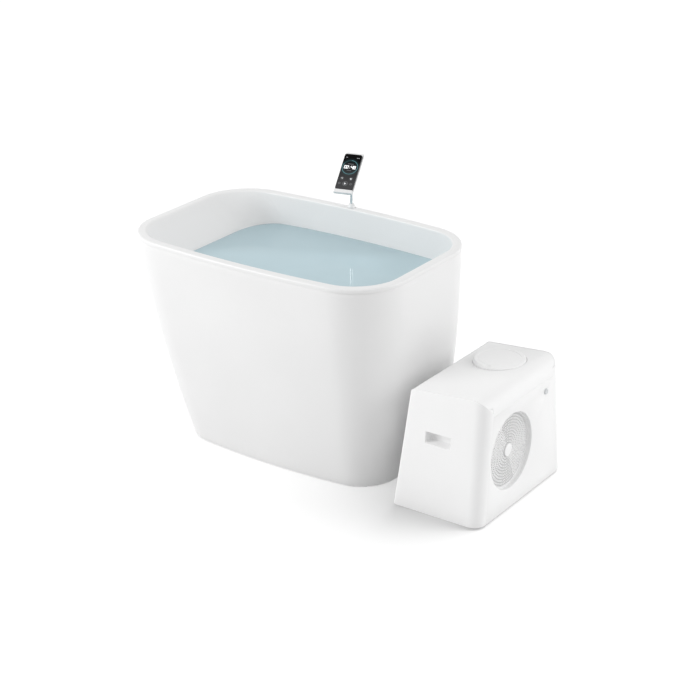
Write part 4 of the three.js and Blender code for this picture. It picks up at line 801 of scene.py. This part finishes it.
class PLUNGE_OT_handset(bpy.types.Operator):
    """Builds the handset and its lit glass."""

    bl_idname = "plunge.handset"
    bl_label = "Handset"

    def execute(self, context):
        middle = HANDSET_FOOT + HANDSET_LENGTH / 2
        body = plate(HANDSET_WIDTH, HANDSET_LENGTH, HANDSET_CORNER, HANDSET_THICK, HANDSET_EDGE)
        place = cradle_place() @ shift(0, middle, TRAY_FACE + FIT)
        piece("handset_shell", body, "dark_plastic", "handset", "handset_body", place=place)

        width = HANDSET_WIDTH - 2 * GLASS_MARGIN
        length = HANDSET_LENGTH - 2 * GLASS_MARGIN
        glass = plate(width, length, HANDSET_CORNER - GLASS_MARGIN, GLASS_THICK, GLASS_EDGE)
        for axis, size in ((0, width), (1, length)):
            normal = Vector((axis == 0, axis == 1, 0))
            for k in range(1, int(size / SCREEN_CELL)):
                point = normal * (k * SCREEN_CELL - size / 2) * MM
                geom = glass.verts[:] + glass.edges[:] + [f for f in glass.faces if f.normal.z > UPWARD]
                bmesh.ops.bisect_plane(glass, geom=geom, dist=TINY, plane_co=point, plane_no=normal)
        ring = list(context.scene.plunge_handset.ring_colour)
        layer = glass.verts.layers.float_color.new("screen_picture")
        for v in glass.verts:
            v[layer] = (*screen_colour(v.co.x / MM, v.co.y / MM, ring), 1.0)
        place = cradle_place() @ shift(0, middle, HANDSET_FACE + FIT)
        piece("screen_glass", glass, "screen", "handset", "handset_glass", place=place, sharp=60)
        return {"FINISHED"}


def front_x(z):
    return CASE_DEPTH / 2 - LEAN_FRONT * (z / FRONT_TOP)


def back_x(z):
    return LEAN_BACK * (z / FRONT_TOP) - CASE_DEPTH / 2


def end_y(z):
    return CASE_WIDTH / 2 - LEAN_END * (z / FRONT_TOP)


def seam_y(z):
    return end_y(z) - SEAM_IN


def corner_x(z, front):
    """Where the casing's flat end begins, at its front or its back corner."""
    return front_x(z) - CASE_CORNER if front else back_x(z) + BACK_CORNER


def round_corner(before, corner, after, radius, steps):
    """Points of the arc that rounds the corner between two lines."""
    p, a, b = Vector(corner), Vector(before), Vector(after)
    a, b = (a - p).normalized(), (b - p).normalized()
    half = a.angle(b) / 2
    centre = p + (a + b).normalized() * radius / math.sin(half)
    start = p + a * radius / math.tan(half) - centre
    end = p + b * radius / math.tan(half) - centre
    first = math.atan2(start.y, start.x)
    turn = (math.atan2(end.y, end.x) - first + math.pi) % math.tau - math.pi
    angles = [first + turn * i / steps for i in range(steps + 1)]
    return [(centre.x + radius * math.cos(t), centre.y + radius * math.sin(t)) for t in angles]


def case_profile(rise, steps=14):
    """The rounded front and back edges of the casing's top, seen from its end, from front to back."""
    front_top = (front_x(FRONT_TOP), FRONT_TOP + rise)
    back_top = (back_x(BACK_TOP), BACK_TOP + rise)
    front = round_corner((front_x(0), 0), front_top, back_top, FRONT_ROUND, steps)
    back = round_corner(front_top, back_top, (back_x(0), 0), BACK_ROUND, steps)
    return front, back


def profile_z(x, rise):
    """The height of the casing's raised outline at a place along its depth."""
    front, back = case_profile(rise)
    points = front + back
    for (x0, z0), (x1, z1) in zip(points, points[1:]):
        if x1 <= x <= x0:
            return lerp(z0, z1, (x - x0) / (x1 - x0))
    return points[0 if x > 0 else -1][1]


def end_columns():
    """The columns of an end panel, each a function from a height to a place in plan.

    They run from the front seam by the front corner, the end face and the back corner to the back seam.
    """

    def on_corner(front, angle):
        def at(z):
            radius = CASE_CORNER if front else BACK_CORNER
            x = corner_x(z, front)
            return x + radius * math.cos(angle), end_y(z) - radius + radius * math.sin(angle)

        return at

    def on_face(t, fixed, front):
        def at(z):
            return lerp(corner_x(z, front), fixed, t), end_y(z)

        return at

    columns = [lambda z: (front_x(z), seam_y(z))]
    columns += [on_corner(True, math.radians(a)) for a in spread(0, 90, CORNER_COLUMNS)]
    near, far = GRIP_X + GRIP_WIDTH / 2, GRIP_X - GRIP_WIDTH / 2
    columns += [on_face(t, near, True) for t in spread(0, 1, FACE_COLUMNS)[1:]]
    columns += [on_face(1, lerp(near, far, t), True) for t in spread(0, 1, GRIP_COLUMNS)[1:]]
    columns += [on_face(1 - t, far, False) for t in spread(0, 1, FACE_COLUMNS)[1:-1]]
    columns += [on_corner(False, math.radians(a)) for a in spread(90, 180, CORNER_COLUMNS)]
    columns += [lambda z: (back_x(z), seam_y(z))]
    return columns


def column_top(at):
    """The height at which a column of an end panel meets the raised outline."""
    low, high = TOP_SEAM, FRONT_TOP + 3 * END_LIP
    for _ in range(HALVINGS):
        middle = (low + high) / 2
        inside = middle <= profile_z(at(middle)[0] * INWARD, END_LIP)
        low, high = (middle, high) if inside else (low, middle)
    return low


class PLUNGE_OT_end_panels(bpy.types.Operator):
    """Builds the chiller's two end panels with their hand recesses."""

    bl_idname = "plunge.end_panels"
    bl_label = "End panels"

    def execute(self, context):
        for side, name, node in ((-1, "near_cheek", "near_end_panel"), (1, "far_cheek", "far_end_panel")):
            self.build(side, name, node)
        return {"FINISHED"}

    def build(self, side, name, node):
        """One panel: a grid with its window cut, thickened, and the recess drawn in."""
        bm = bmesh.new()
        top_row = bm.verts.layers.int.new("top_row")
        low, high = GRIP_Z - GRIP_HEIGHT / 2, GRIP_Z + GRIP_HEIGHT / 2
        rows = spread(CASE_FOOT, low, FOOT_ROWS) + spread(low, high, GRIP_ROWS)[1:]
        rows += spread(high, TOP_SEAM, SEAM_ROWS)[1:]
        columns = end_columns()
        tops = [column_top(at) for at in columns]
        last = len(rows) - 1 + TOP_ROWS
        inside = set()
        for v, i, j in grid(bm, len(columns) - 1, last):
            z = rows[j] if j < len(rows) else lerp(TOP_SEAM, tops[i], (j - len(rows) + 1) / TOP_ROWS)
            x, y = columns[i](z)
            v.co = Vector((CHILLER_X + x, CHILLER_Y + side * y, z)) * MM
            v[top_row] = int(j == last)
            on_end = y > end_y(z) - NEAR
            if on_end and abs(x - GRIP_X) < GRIP_WIDTH / 2 + NEAR and low - NEAR < z < high + NEAR:
                inside.add(v)
        hole = [f for f in bm.faces if all(v in inside for v in f.verts)]
        bmesh.ops.delete(bm, geom=hole, context="FACES")
        rim = [e for e in bm.edges if e.is_boundary and all(v in inside for v in e.verts)]
        thicken(bm, 1, side)
        for v in bm.verts:
            if v[top_row]:
                v.co.z = profile_z(v.co.x / MM - CHILLER_X, END_LIP) * MM
        self.recess(bm, rim, side)
        piece(name, bm, "white_case", "tub", node, sharp=35)

    def recess(self, bm, edges, side):
        """Draws the window's edge in, to a cup with round corners and a flat floor."""
        centre = Vector((CHILLER_X + GRIP_X, 0, GRIP_Z)) * MM
        floor = CHILLER_Y + side * (end_y(GRIP_Z + GRIP_HEIGHT / 2) - GRIP_DEPTH)
        half_x, half_z = GRIP_WIDTH / 2 * MM, GRIP_HEIGHT / 2 * MM
        for inset, corner, depth in GRIP_STAGES:
            made = bmesh.ops.extrude_edge_only(bm, edges=edges)["geom"]
            edges = [g for g in made if isinstance(g, bmesh.types.BMEdge)]
            core_x, core_z = half_x - (inset + corner) * MM, half_z - (inset + corner) * MM
            for v in (g for g in made if isinstance(g, bmesh.types.BMVert)):
                flat = v.co - centre
                u, w = flat.x / half_x, flat.z / half_z
                size = max(abs(u), abs(w))
                x = u / size * (half_x - inset * MM)
                z = w / size * (half_z - inset * MM)
                over = Vector((x - clamped(x, core_x), z - clamped(z, core_z)))
                if all(abs(part) > ROUNDING for part in over):
                    stretch = over.normalized() * corner * MM
                    x = clamped(x, core_x) + stretch.x
                    z = clamped(z, core_z) + stretch.y
                face = CHILLER_Y + side * end_y(GRIP_Z + z / MM)
                v.co = Vector((centre.x + x, lerp(face, floor, depth) * MM, centre.z + z))
        bmesh.ops.edgeloop_fill(bm, edges=edges)


class PLUNGE_OT_front_panel(bpy.types.Operator):
    """Builds the chiller's front panel round the fan's opening and the button's hole."""

    bl_idname = "plunge.front_panel"
    bl_label = "Front panel"

    def execute(self, context):
        bm = bmesh.new()
        foot, top = (seam_y(z) - FIT for z in (CASE_FOOT, TOP_SEAM))
        outline = [(-foot, CASE_FOOT), (foot, CASE_FOOT), (top, TOP_SEAM), (-top, TOP_SEAM)]
        fan = circle(FAN_Y, FAN_Z, FAN_HOLE / 2, HOLE_STEPS)
        button = circle(BUTTON_Y, BUTTON_Z, BUTTON / 2 + BORE_GAP, SMALL_STEPS)
        edges = []
        for points in (outline, fan, button):
            edges += loop_of(bm, [(0, y, z) for y, z in points])
        bmesh.ops.triangle_fill(bm, edges=edges, use_beauty=True, normal=(1, 0, 0))
        for v in bm.verts:
            z = v.co.z / MM
            v.co = Vector((CHILLER_X + front_x(z), CHILLER_Y + v.co.y / MM, z)) * MM
        thicken(bm, 0)
        for v in bm.verts:
            y, z = v.co.y / MM - CHILLER_Y, v.co.z / MM
            behind = v.co.x / MM < CHILLER_X + front_x(z) - PANEL / 2
            if behind and on_circle(y, z, FAN_Y, FAN_Z, FAN_HOLE / 2, FAN_BAND):
                v.co.x = (CHILLER_X + SHROUD_FRONT + FIT) * MM
        face_x = (CHILLER_X + front_x(TOP_SEAM) - PANEL / 2) * MM
        edge = [e for e in bm.edges if e.is_manifold and e.calc_face_angle(0) > EDGE_RADIANS]
        edge = [e for e in edge if min(v.co.x for v in e.verts) > face_x]
        bmesh.ops.bevel(bm, geom=edge, offset=PANEL_EDGE * MM, segments=2, affect="EDGES", **BEVEL)
        piece("fan_face", bm, "white_case", "tub", "front_panel", sharp=25)
        return {"FINISHED"}


class PLUNGE_OT_top_cover(bpy.types.Operator):
    """Builds the chiller's top, rounded down to front and back, with the filter's opening."""

    bl_idname = "plunge.top_cover"
    bl_label = "Top cover"

    def reach(self, x, z):
        """How far the cover runs towards each end panel."""
        seam = seam_y(z) - FIT
        for radius, beyond in ((CASE_CORNER, x - corner_x(z, True)), (BACK_CORNER, corner_x(z, False) - x)):
            inside = radius - PANEL - FIT
            if beyond >= inside:
                return seam
            if beyond > 0:
                return max(seam, end_y(z) - radius + math.sqrt(inside**2 - beyond**2))
        return end_y(z) - PANEL - FIT

    def rounded_edge(self, bm, points):
        """One rounded edge of the cover, as a grid."""
        for v, i, j in grid(bm, TOP_COLUMNS, len(points) - 1):
            x, z = points[j]
            reach = self.reach(x, z)
            v.co = Vector((x, lerp(-reach, reach, i / TOP_COLUMNS), z)) * MM

    def execute(self, context):
        front, back = case_profile(0, EDGE_ROWS)
        low = TOP_SEAM + FIT
        bm = bmesh.new()
        self.rounded_edge(bm, [(front_x(low), low)] + front)
        self.rounded_edge(bm, back + [(back_x(low), low)])
        (x0, z0), (x1, z1) = back[0], front[-1]

        def top_z(x):
            return lerp(z0, z1, (x - x0) / (x1 - x0))

        across = spread(-1, 1, TOP_COLUMNS)
        outline = [(x1, t * self.reach(x1, z1)) for t in across]
        sides = spread(x1, x0, SIDE_STEPS)[1:-1]
        outline += [(x, self.reach(x, top_z(x))) for x in sides]
        outline += [(x0, -t * self.reach(x0, z0)) for t in across]
        outline += [(x, -self.reach(x, top_z(x))) for x in reversed(sides)]
        edges = loop_of(bm, outline) + loop_of(bm, circle(FILTER_X, FILTER_Y, CAP_HOLE / 2, HOLE_STEPS))
        flat = {v for e in edges for v in e.verts}
        bmesh.ops.triangle_fill(bm, edges=edges, use_beauty=True, normal=(0, 0, 1))
        for v in flat:
            v.co.z = top_z(v.co.x / MM) * MM
        bmesh.ops.remove_doubles(bm, verts=bm.verts, dist=SEAM_WELD)
        thicken(bm, 2)
        place = shift(CHILLER_X, CHILLER_Y, 0)
        piece("case_top", bm, "white_case", "tub", "top_cover", place=place, sharp=30)
        return {"FINISHED"}


class PLUNGE_OT_filter_cap(bpy.types.Operator):
    """Builds the round filter cap with its two finger notches."""

    bl_idname = "plunge.filter_cap"
    bl_label = "Filter cap"

    def execute(self, context):
        low, high = (corner.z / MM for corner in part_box("filter_cap"))
        skirt_top = low + SKIRT_HEIGHT
        edge = CAP / 2
        skirt = edge - SKIRT_IN
        floor = high - CAP_ROUND
        profile = [(0, low), (skirt - CAP_EDGE, low), (skirt, low + CAP_EDGE), (skirt, skirt_top)]
        profile += [(edge - CAP_EDGE, skirt_top), (edge, skirt_top + CAP_EDGE), (edge, floor)]
        profile += arc(edge - CAP_ROUND, floor, CAP_ROUND, 0, 90, ROUND_ROWS)[1:]
        profile += [(edge - inset, high - depth) for inset, depth in CAP_RING] + [(0, high)]
        bm = turned(profile, CAP_STEPS)
        radius = CAP_NOTCH / 2 * MM
        for v in bm.verts:
            if v.co.z / MM < floor - NEAR:
                continue
            for side in (-1, 1):
                away = Vector((v.co.x, v.co.y - side * edge * MM)).length
                if away < radius:
                    dip = min(1, NOTCH_SLOPE * (1 - (away / radius) ** 2))
                    v.co.z = max(floor * MM, v.co.z - CAP_ROUND * MM * dip)
        place = shift(CHILLER_X + FILTER_X, CHILLER_Y + FILTER_Y, 0)
        piece("twist_cap", bm, "white_case", "filter_cap", "filter_cap", place=place, sharp=30)
        return {"FINISHED"}


class PLUNGE_OT_fan_grille(bpy.types.Operator):
    """Builds the fan grille from rows of round holes, and its hub disc."""

    bl_idname = "plunge.fan_grille"
    bl_label = "Fan grille"

    def execute(self, context):
        low, high = (corner.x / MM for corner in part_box("fan_grille"))
        rim = FAN_HOLE / 2 - FIT
        rows = context.scene.plunge_chiller.grille_rows
        step = (rim - GRILLE_BORDER - GRILLE_HUB) / rows
        bm = bmesh.new()
        for row in range(rows):
            inner, outer = GRILLE_HUB + row * step, GRILLE_HUB + (row + 1) * step
            cells = round(math.pi * (inner + outer) / step)
            self.row_of_holes(bm, inner, outer, cells, step * GRILLE_HOLE)
        steps = round(math.pi * (2 * rim - GRILLE_BORDER - step) / step) * 2
        border = [loop_of(bm, circle(0, 0, radius, steps)) for radius in (rim - GRILLE_BORDER, rim)]
        bmesh.ops.bridge_loops(bm, edges=border[0] + border[1])
        bmesh.ops.edgeloop_fill(bm, edges=loop_of(bm, circle(0, 0, GRILLE_HUB, SMALL_STEPS)))
        bmesh.ops.recalc_face_normals(bm, faces=bm.faces)
        for f in bm.faces:
            if f.normal.z < 0:
                f.normal_flip()
        bmesh.ops.solidify(bm, geom=bm.faces[:], thickness=(high - low) * MM)
        stand = rotation(90, "Y")
        place = shift(high, CHILLER_Y + FAN_Y, FAN_Z) @ stand
        piece("perforated_grille", bm, "white_case", "tub", "fan_grille", place=place, sharp=30)

        low, high = (corner.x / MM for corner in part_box("grille_hub"))
        shoulder = high - HUB_ROUND
        dome = [(0, low), (HUB_DISC, low), (HUB_DISC, shoulder)]
        dome += arc(HUB_DISC - HUB_ROUND, shoulder, HUB_ROUND, 0, HUB_ARC, HUB_ROWS) + [(0, high)]
        place = shift(0, CHILLER_Y + FAN_Y, FAN_Z) @ stand
        piece("hub_disc", turned(dome), "white_case", "tub", "grille_hub", place=place, sharp=40)
        return {"FINISHED"}

    def row_of_holes(self, bm, inner, outer, cells, radius):
        """One ring of square cells, each with a round hole."""
        turn = math.tau / cells
        middle = (inner + outer) / 2
        hole, cell = [], []
        for i in range(GRILLE_SIDES):
            angle = math.tau * (i + 0.5) / GRILLE_SIDES
            c, s = math.cos(angle), math.sin(angle)
            reach = 1 / max(abs(c), abs(s))
            hole.append((middle + radius * c, radius * s / middle))
            cell.append((middle + (outer - inner) / 2 * c * reach, turn / 2 * s * reach))
        for k in range(cells):
            edges = []
            for points in (cell, hole):
                polar = [(r, a + turn * k) for r, a in points]
                edges += loop_of(bm, [(r * math.cos(a), r * math.sin(a)) for r, a in polar])
            bmesh.ops.bridge_loops(bm, edges=edges)


class PLUNGE_OT_power_button(bpy.types.Operator):
    """Builds the chiller's round power button with its dished face."""

    bl_idname = "plunge.power_button"
    bl_label = "Power button"

    def execute(self, context):
        low, high = (corner.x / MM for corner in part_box("power_button"))
        edge = BUTTON / 2
        back, shoulder = low + PANEL, high - BUTTON_ROUND
        profile = [(0, low), (BUTTON_FLANGE, low), (BUTTON_FLANGE, back), (edge, back), (edge, shoulder)]
        profile += arc(edge - BUTTON_ROUND, shoulder, BUTTON_ROUND, 0, 90, BUTTON_ROWS)[1:]
        profile += [(edge - inset, high - depth) for inset, depth in BUTTON_DISH]
        place = shift(0, CHILLER_Y + BUTTON_Y, BUTTON_Z) @ rotation(90, "Y")
        bm = turned(profile, BUTTON_STEPS)
        piece("round_button", bm, "grey_plastic", "power_button", "power_button", place=place, sharp=30)
        return {"FINISHED"}


class PLUNGE_OT_inner_finishes(bpy.types.Operator):
    """Gives every solid that is shown as it is its own finish."""

    bl_idname = "plunge.inner_finishes"
    bl_label = "Inner finishes"

    def execute(self, context):
        slots = {entry["node"]: entry["material_slot"] for entry in frame["record"]["subparts"]}
        for name, obj in frame["nodes"].items():
            obj.data.materials.clear()
            obj.data.materials.append(finish_of(slots[name]))
        return {"FINISHED"}


class PLUNGE_OT_stage(bpy.types.Operator):
    """Sets the floor, the light and the camera."""

    bl_idname = "plunge.stage"
    bl_label = "Stage"

    def execute(self, context):
        look = context.scene.plunge_stage
        self.floor()
        self.world(look.world_light)
        self.lamp("key", KEY_PLACE, look.key_light)
        self.lamp("fill", FILL_PLACE, look.key_light * FILL_SHARE)
        self.ground_sun(look.sun_light)
        self.camera()
        context.scene.view_settings.view_transform = "Standard"
        return {"FINISHED"}

    def split_rays(self, tree, hidden, shown):
        """Gives rays that come from the camera, a mirror or glass one shader, and all others another."""
        node = tree.nodes.new("ShaderNodeLightPath")
        rays = [Shade(tree, node.outputs[f"Is {kind} Ray"]) for kind in ("Camera", "Glossy", "Transmission")]
        seen = rays[0].math("MAXIMUM", rays[0], rays[0].math("MAXIMUM", rays[1], rays[2]))
        pick = tree.nodes.new("ShaderNodeMixShader")
        for source, socket in zip((seen.socket, hidden.outputs[0], shown.outputs[0]), pick.inputs):
            tree.links.new(source, socket)
        output = next(n for n in tree.nodes if n.type.startswith("OUTPUT"))
        tree.links.new(pick.outputs[0], output.inputs[0])

    def floor(self):
        """A wide floor. A glow, for rays that are seen alone, whitens it."""
        bm = bmesh.new()
        bmesh.ops.create_grid(bm, x_segments=1, y_segments=1, size=STAGE_HALF)
        bmesh.ops.translate(bm, vec=(0, 0, -STAGE_DROP), verts=bm.verts)
        mesh = bpy.data.meshes.new("floor")
        bm.to_mesh(mesh)
        bm.free()
        obj = placed("floor", mesh)
        grey = {"Base Color": rgba([STAGE_GREY] * 3), "Roughness": STAGE_ROUGH}
        material = finish("studio_floor", lambda coords: grey)
        tree = material.node_tree
        shader = next(n for n in tree.nodes if n.type == "BSDF_PRINCIPLED")
        glow = tree.nodes.new("ShaderNodeEmission")
        feed(glow, {"Strength": STAGE_GLOW})
        both = tree.nodes.new("ShaderNodeAddShader")
        for part, socket in zip((shader, glow), both.inputs):
            tree.links.new(part.outputs[0], socket)
        self.split_rays(tree, shader, both)
        mesh.materials.append(material)

    def world(self, strength):
        """Even light from all round, which is seen as plain white."""
        world = bpy.data.worlds.new("studio_world")
        bpy.context.scene.world = world
        world.use_nodes = True
        tree = world.node_tree
        tree.nodes.clear()
        tree.nodes.new("ShaderNodeOutputWorld")
        light, white = (tree.nodes.new("ShaderNodeBackground") for _ in range(2))
        feed(light, {"Color": (1, 1, 1, 1), "Strength": strength})
        feed(white, {"Color": (1, 1, 1, 1)})
        self.split_rays(tree, light, white)

    def light(self, name, kind, power, way):
        """A lamp that shines along a direction."""
        data = bpy.data.lights.new(name, kind)
        data.energy = power
        obj = placed(name, data)
        obj.rotation_euler = way.to_track_quat("-Z", "Y").to_euler()
        return obj

    def lamp(self, name, place, power):
        """A large soft disc, turned to the part."""
        obj = self.light(name, "AREA", power, Vector(LAMP_AIM) - Vector(place))
        obj.data.shape = "DISK"
        obj.data.size = LAMP_SIZE
        obj.location = place

    def ground_sun(self, strength):
        """A wide, soft sun on the floor alone, which the chiller's casing blocks."""
        obj = self.light("ground_sun", "SUN", strength, Vector(SUN_WAY))
        obj.data.angle = math.radians(SUN_ANGLE)
        lit, blocking = (bpy.data.collections.new(name) for name in ("sun_lit", "sun_blocking"))
        lit.objects.link(bpy.data.objects["floor"])
        for name in SUN_BLOCKERS:
            blocking.objects.link(frame["nodes"].get(name) or bpy.data.objects[name])
        obj.light_linking.receiver_collection = lit
        obj.light_linking.blocker_collection = blocking

    def camera(self):
        """The camera, from its place and focal length in the photo."""
        data = bpy.data.cameras.new("camera")
        data.sensor_width = SENSOR_WIDTH
        data.lens = SENSOR_WIDTH * FOCAL_PX / IMAGE_PX
        obj = placed("camera", data)
        obj.location = CAMERA_PLACE
        obj.rotation_euler = (math.pi / 2 - math.radians(CAMERA_ELEVATION), 0, math.radians(CAMERA_AZIMUTH))
        bpy.context.scene.camera = obj


class PLUNGE_PT_pieces(bpy.types.Panel):
    """Lists the settings and the pieces in the 3D view's sidebar."""

    bl_idname = "PLUNGE_PT_pieces"
    bl_label = "Cold plunge tub"
    bl_space_type = "VIEW_3D"
    bl_region_type = "UI"
    bl_category = "Plunge tub"

    def draw(self, context):
        for look in LOOKS:
            group = getattr(context.scene, look)
            for name in group.__annotations__:
                self.layout.prop(group, name)
        for operator in PIECES:
            self.layout.operator(operator.bl_idname)


PIECES = (
    PLUNGE_OT_tub_walls,
    PLUNGE_OT_water,
    PLUNGE_OT_rim_post,
    PLUNGE_OT_cradle,
    PLUNGE_OT_handset,
    PLUNGE_OT_end_panels,
    PLUNGE_OT_front_panel,
    PLUNGE_OT_top_cover,
    PLUNGE_OT_filter_cap,
    PLUNGE_OT_fan_grille,
    PLUNGE_OT_power_button,
    PLUNGE_OT_inner_finishes,
    PLUNGE_OT_stage,
)
LOOKS = {
    "plunge_tub": PlungeTubLook,
    "plunge_chiller": PlungeChillerLook,
    "plunge_handset": PlungeHandsetLook,
    "plunge_stage": PlungeStageLook,
}


def register():
    for name, look in LOOKS.items():
        bpy.utils.register_class(look)
        setattr(bpy.types.Scene, name, PointerProperty(type=look))
    for operator in PIECES:
        bpy.utils.register_class(operator)
    bpy.utils.register_class(PLUNGE_PT_pieces)


def unregister():
    bpy.utils.unregister_class(PLUNGE_PT_pieces)
    for operator in reversed(PIECES):
        bpy.utils.unregister_class(operator)
    for name, look in LOOKS.items():
        delattr(bpy.types.Scene, name)
        bpy.utils.unregister_class(look)


def main():
    register()
    for operator in PIECES:
        group, name = operator.bl_idname.split(".")
        getattr(getattr(bpy.ops, group), name)()


if __name__ == "__main__":
    main()
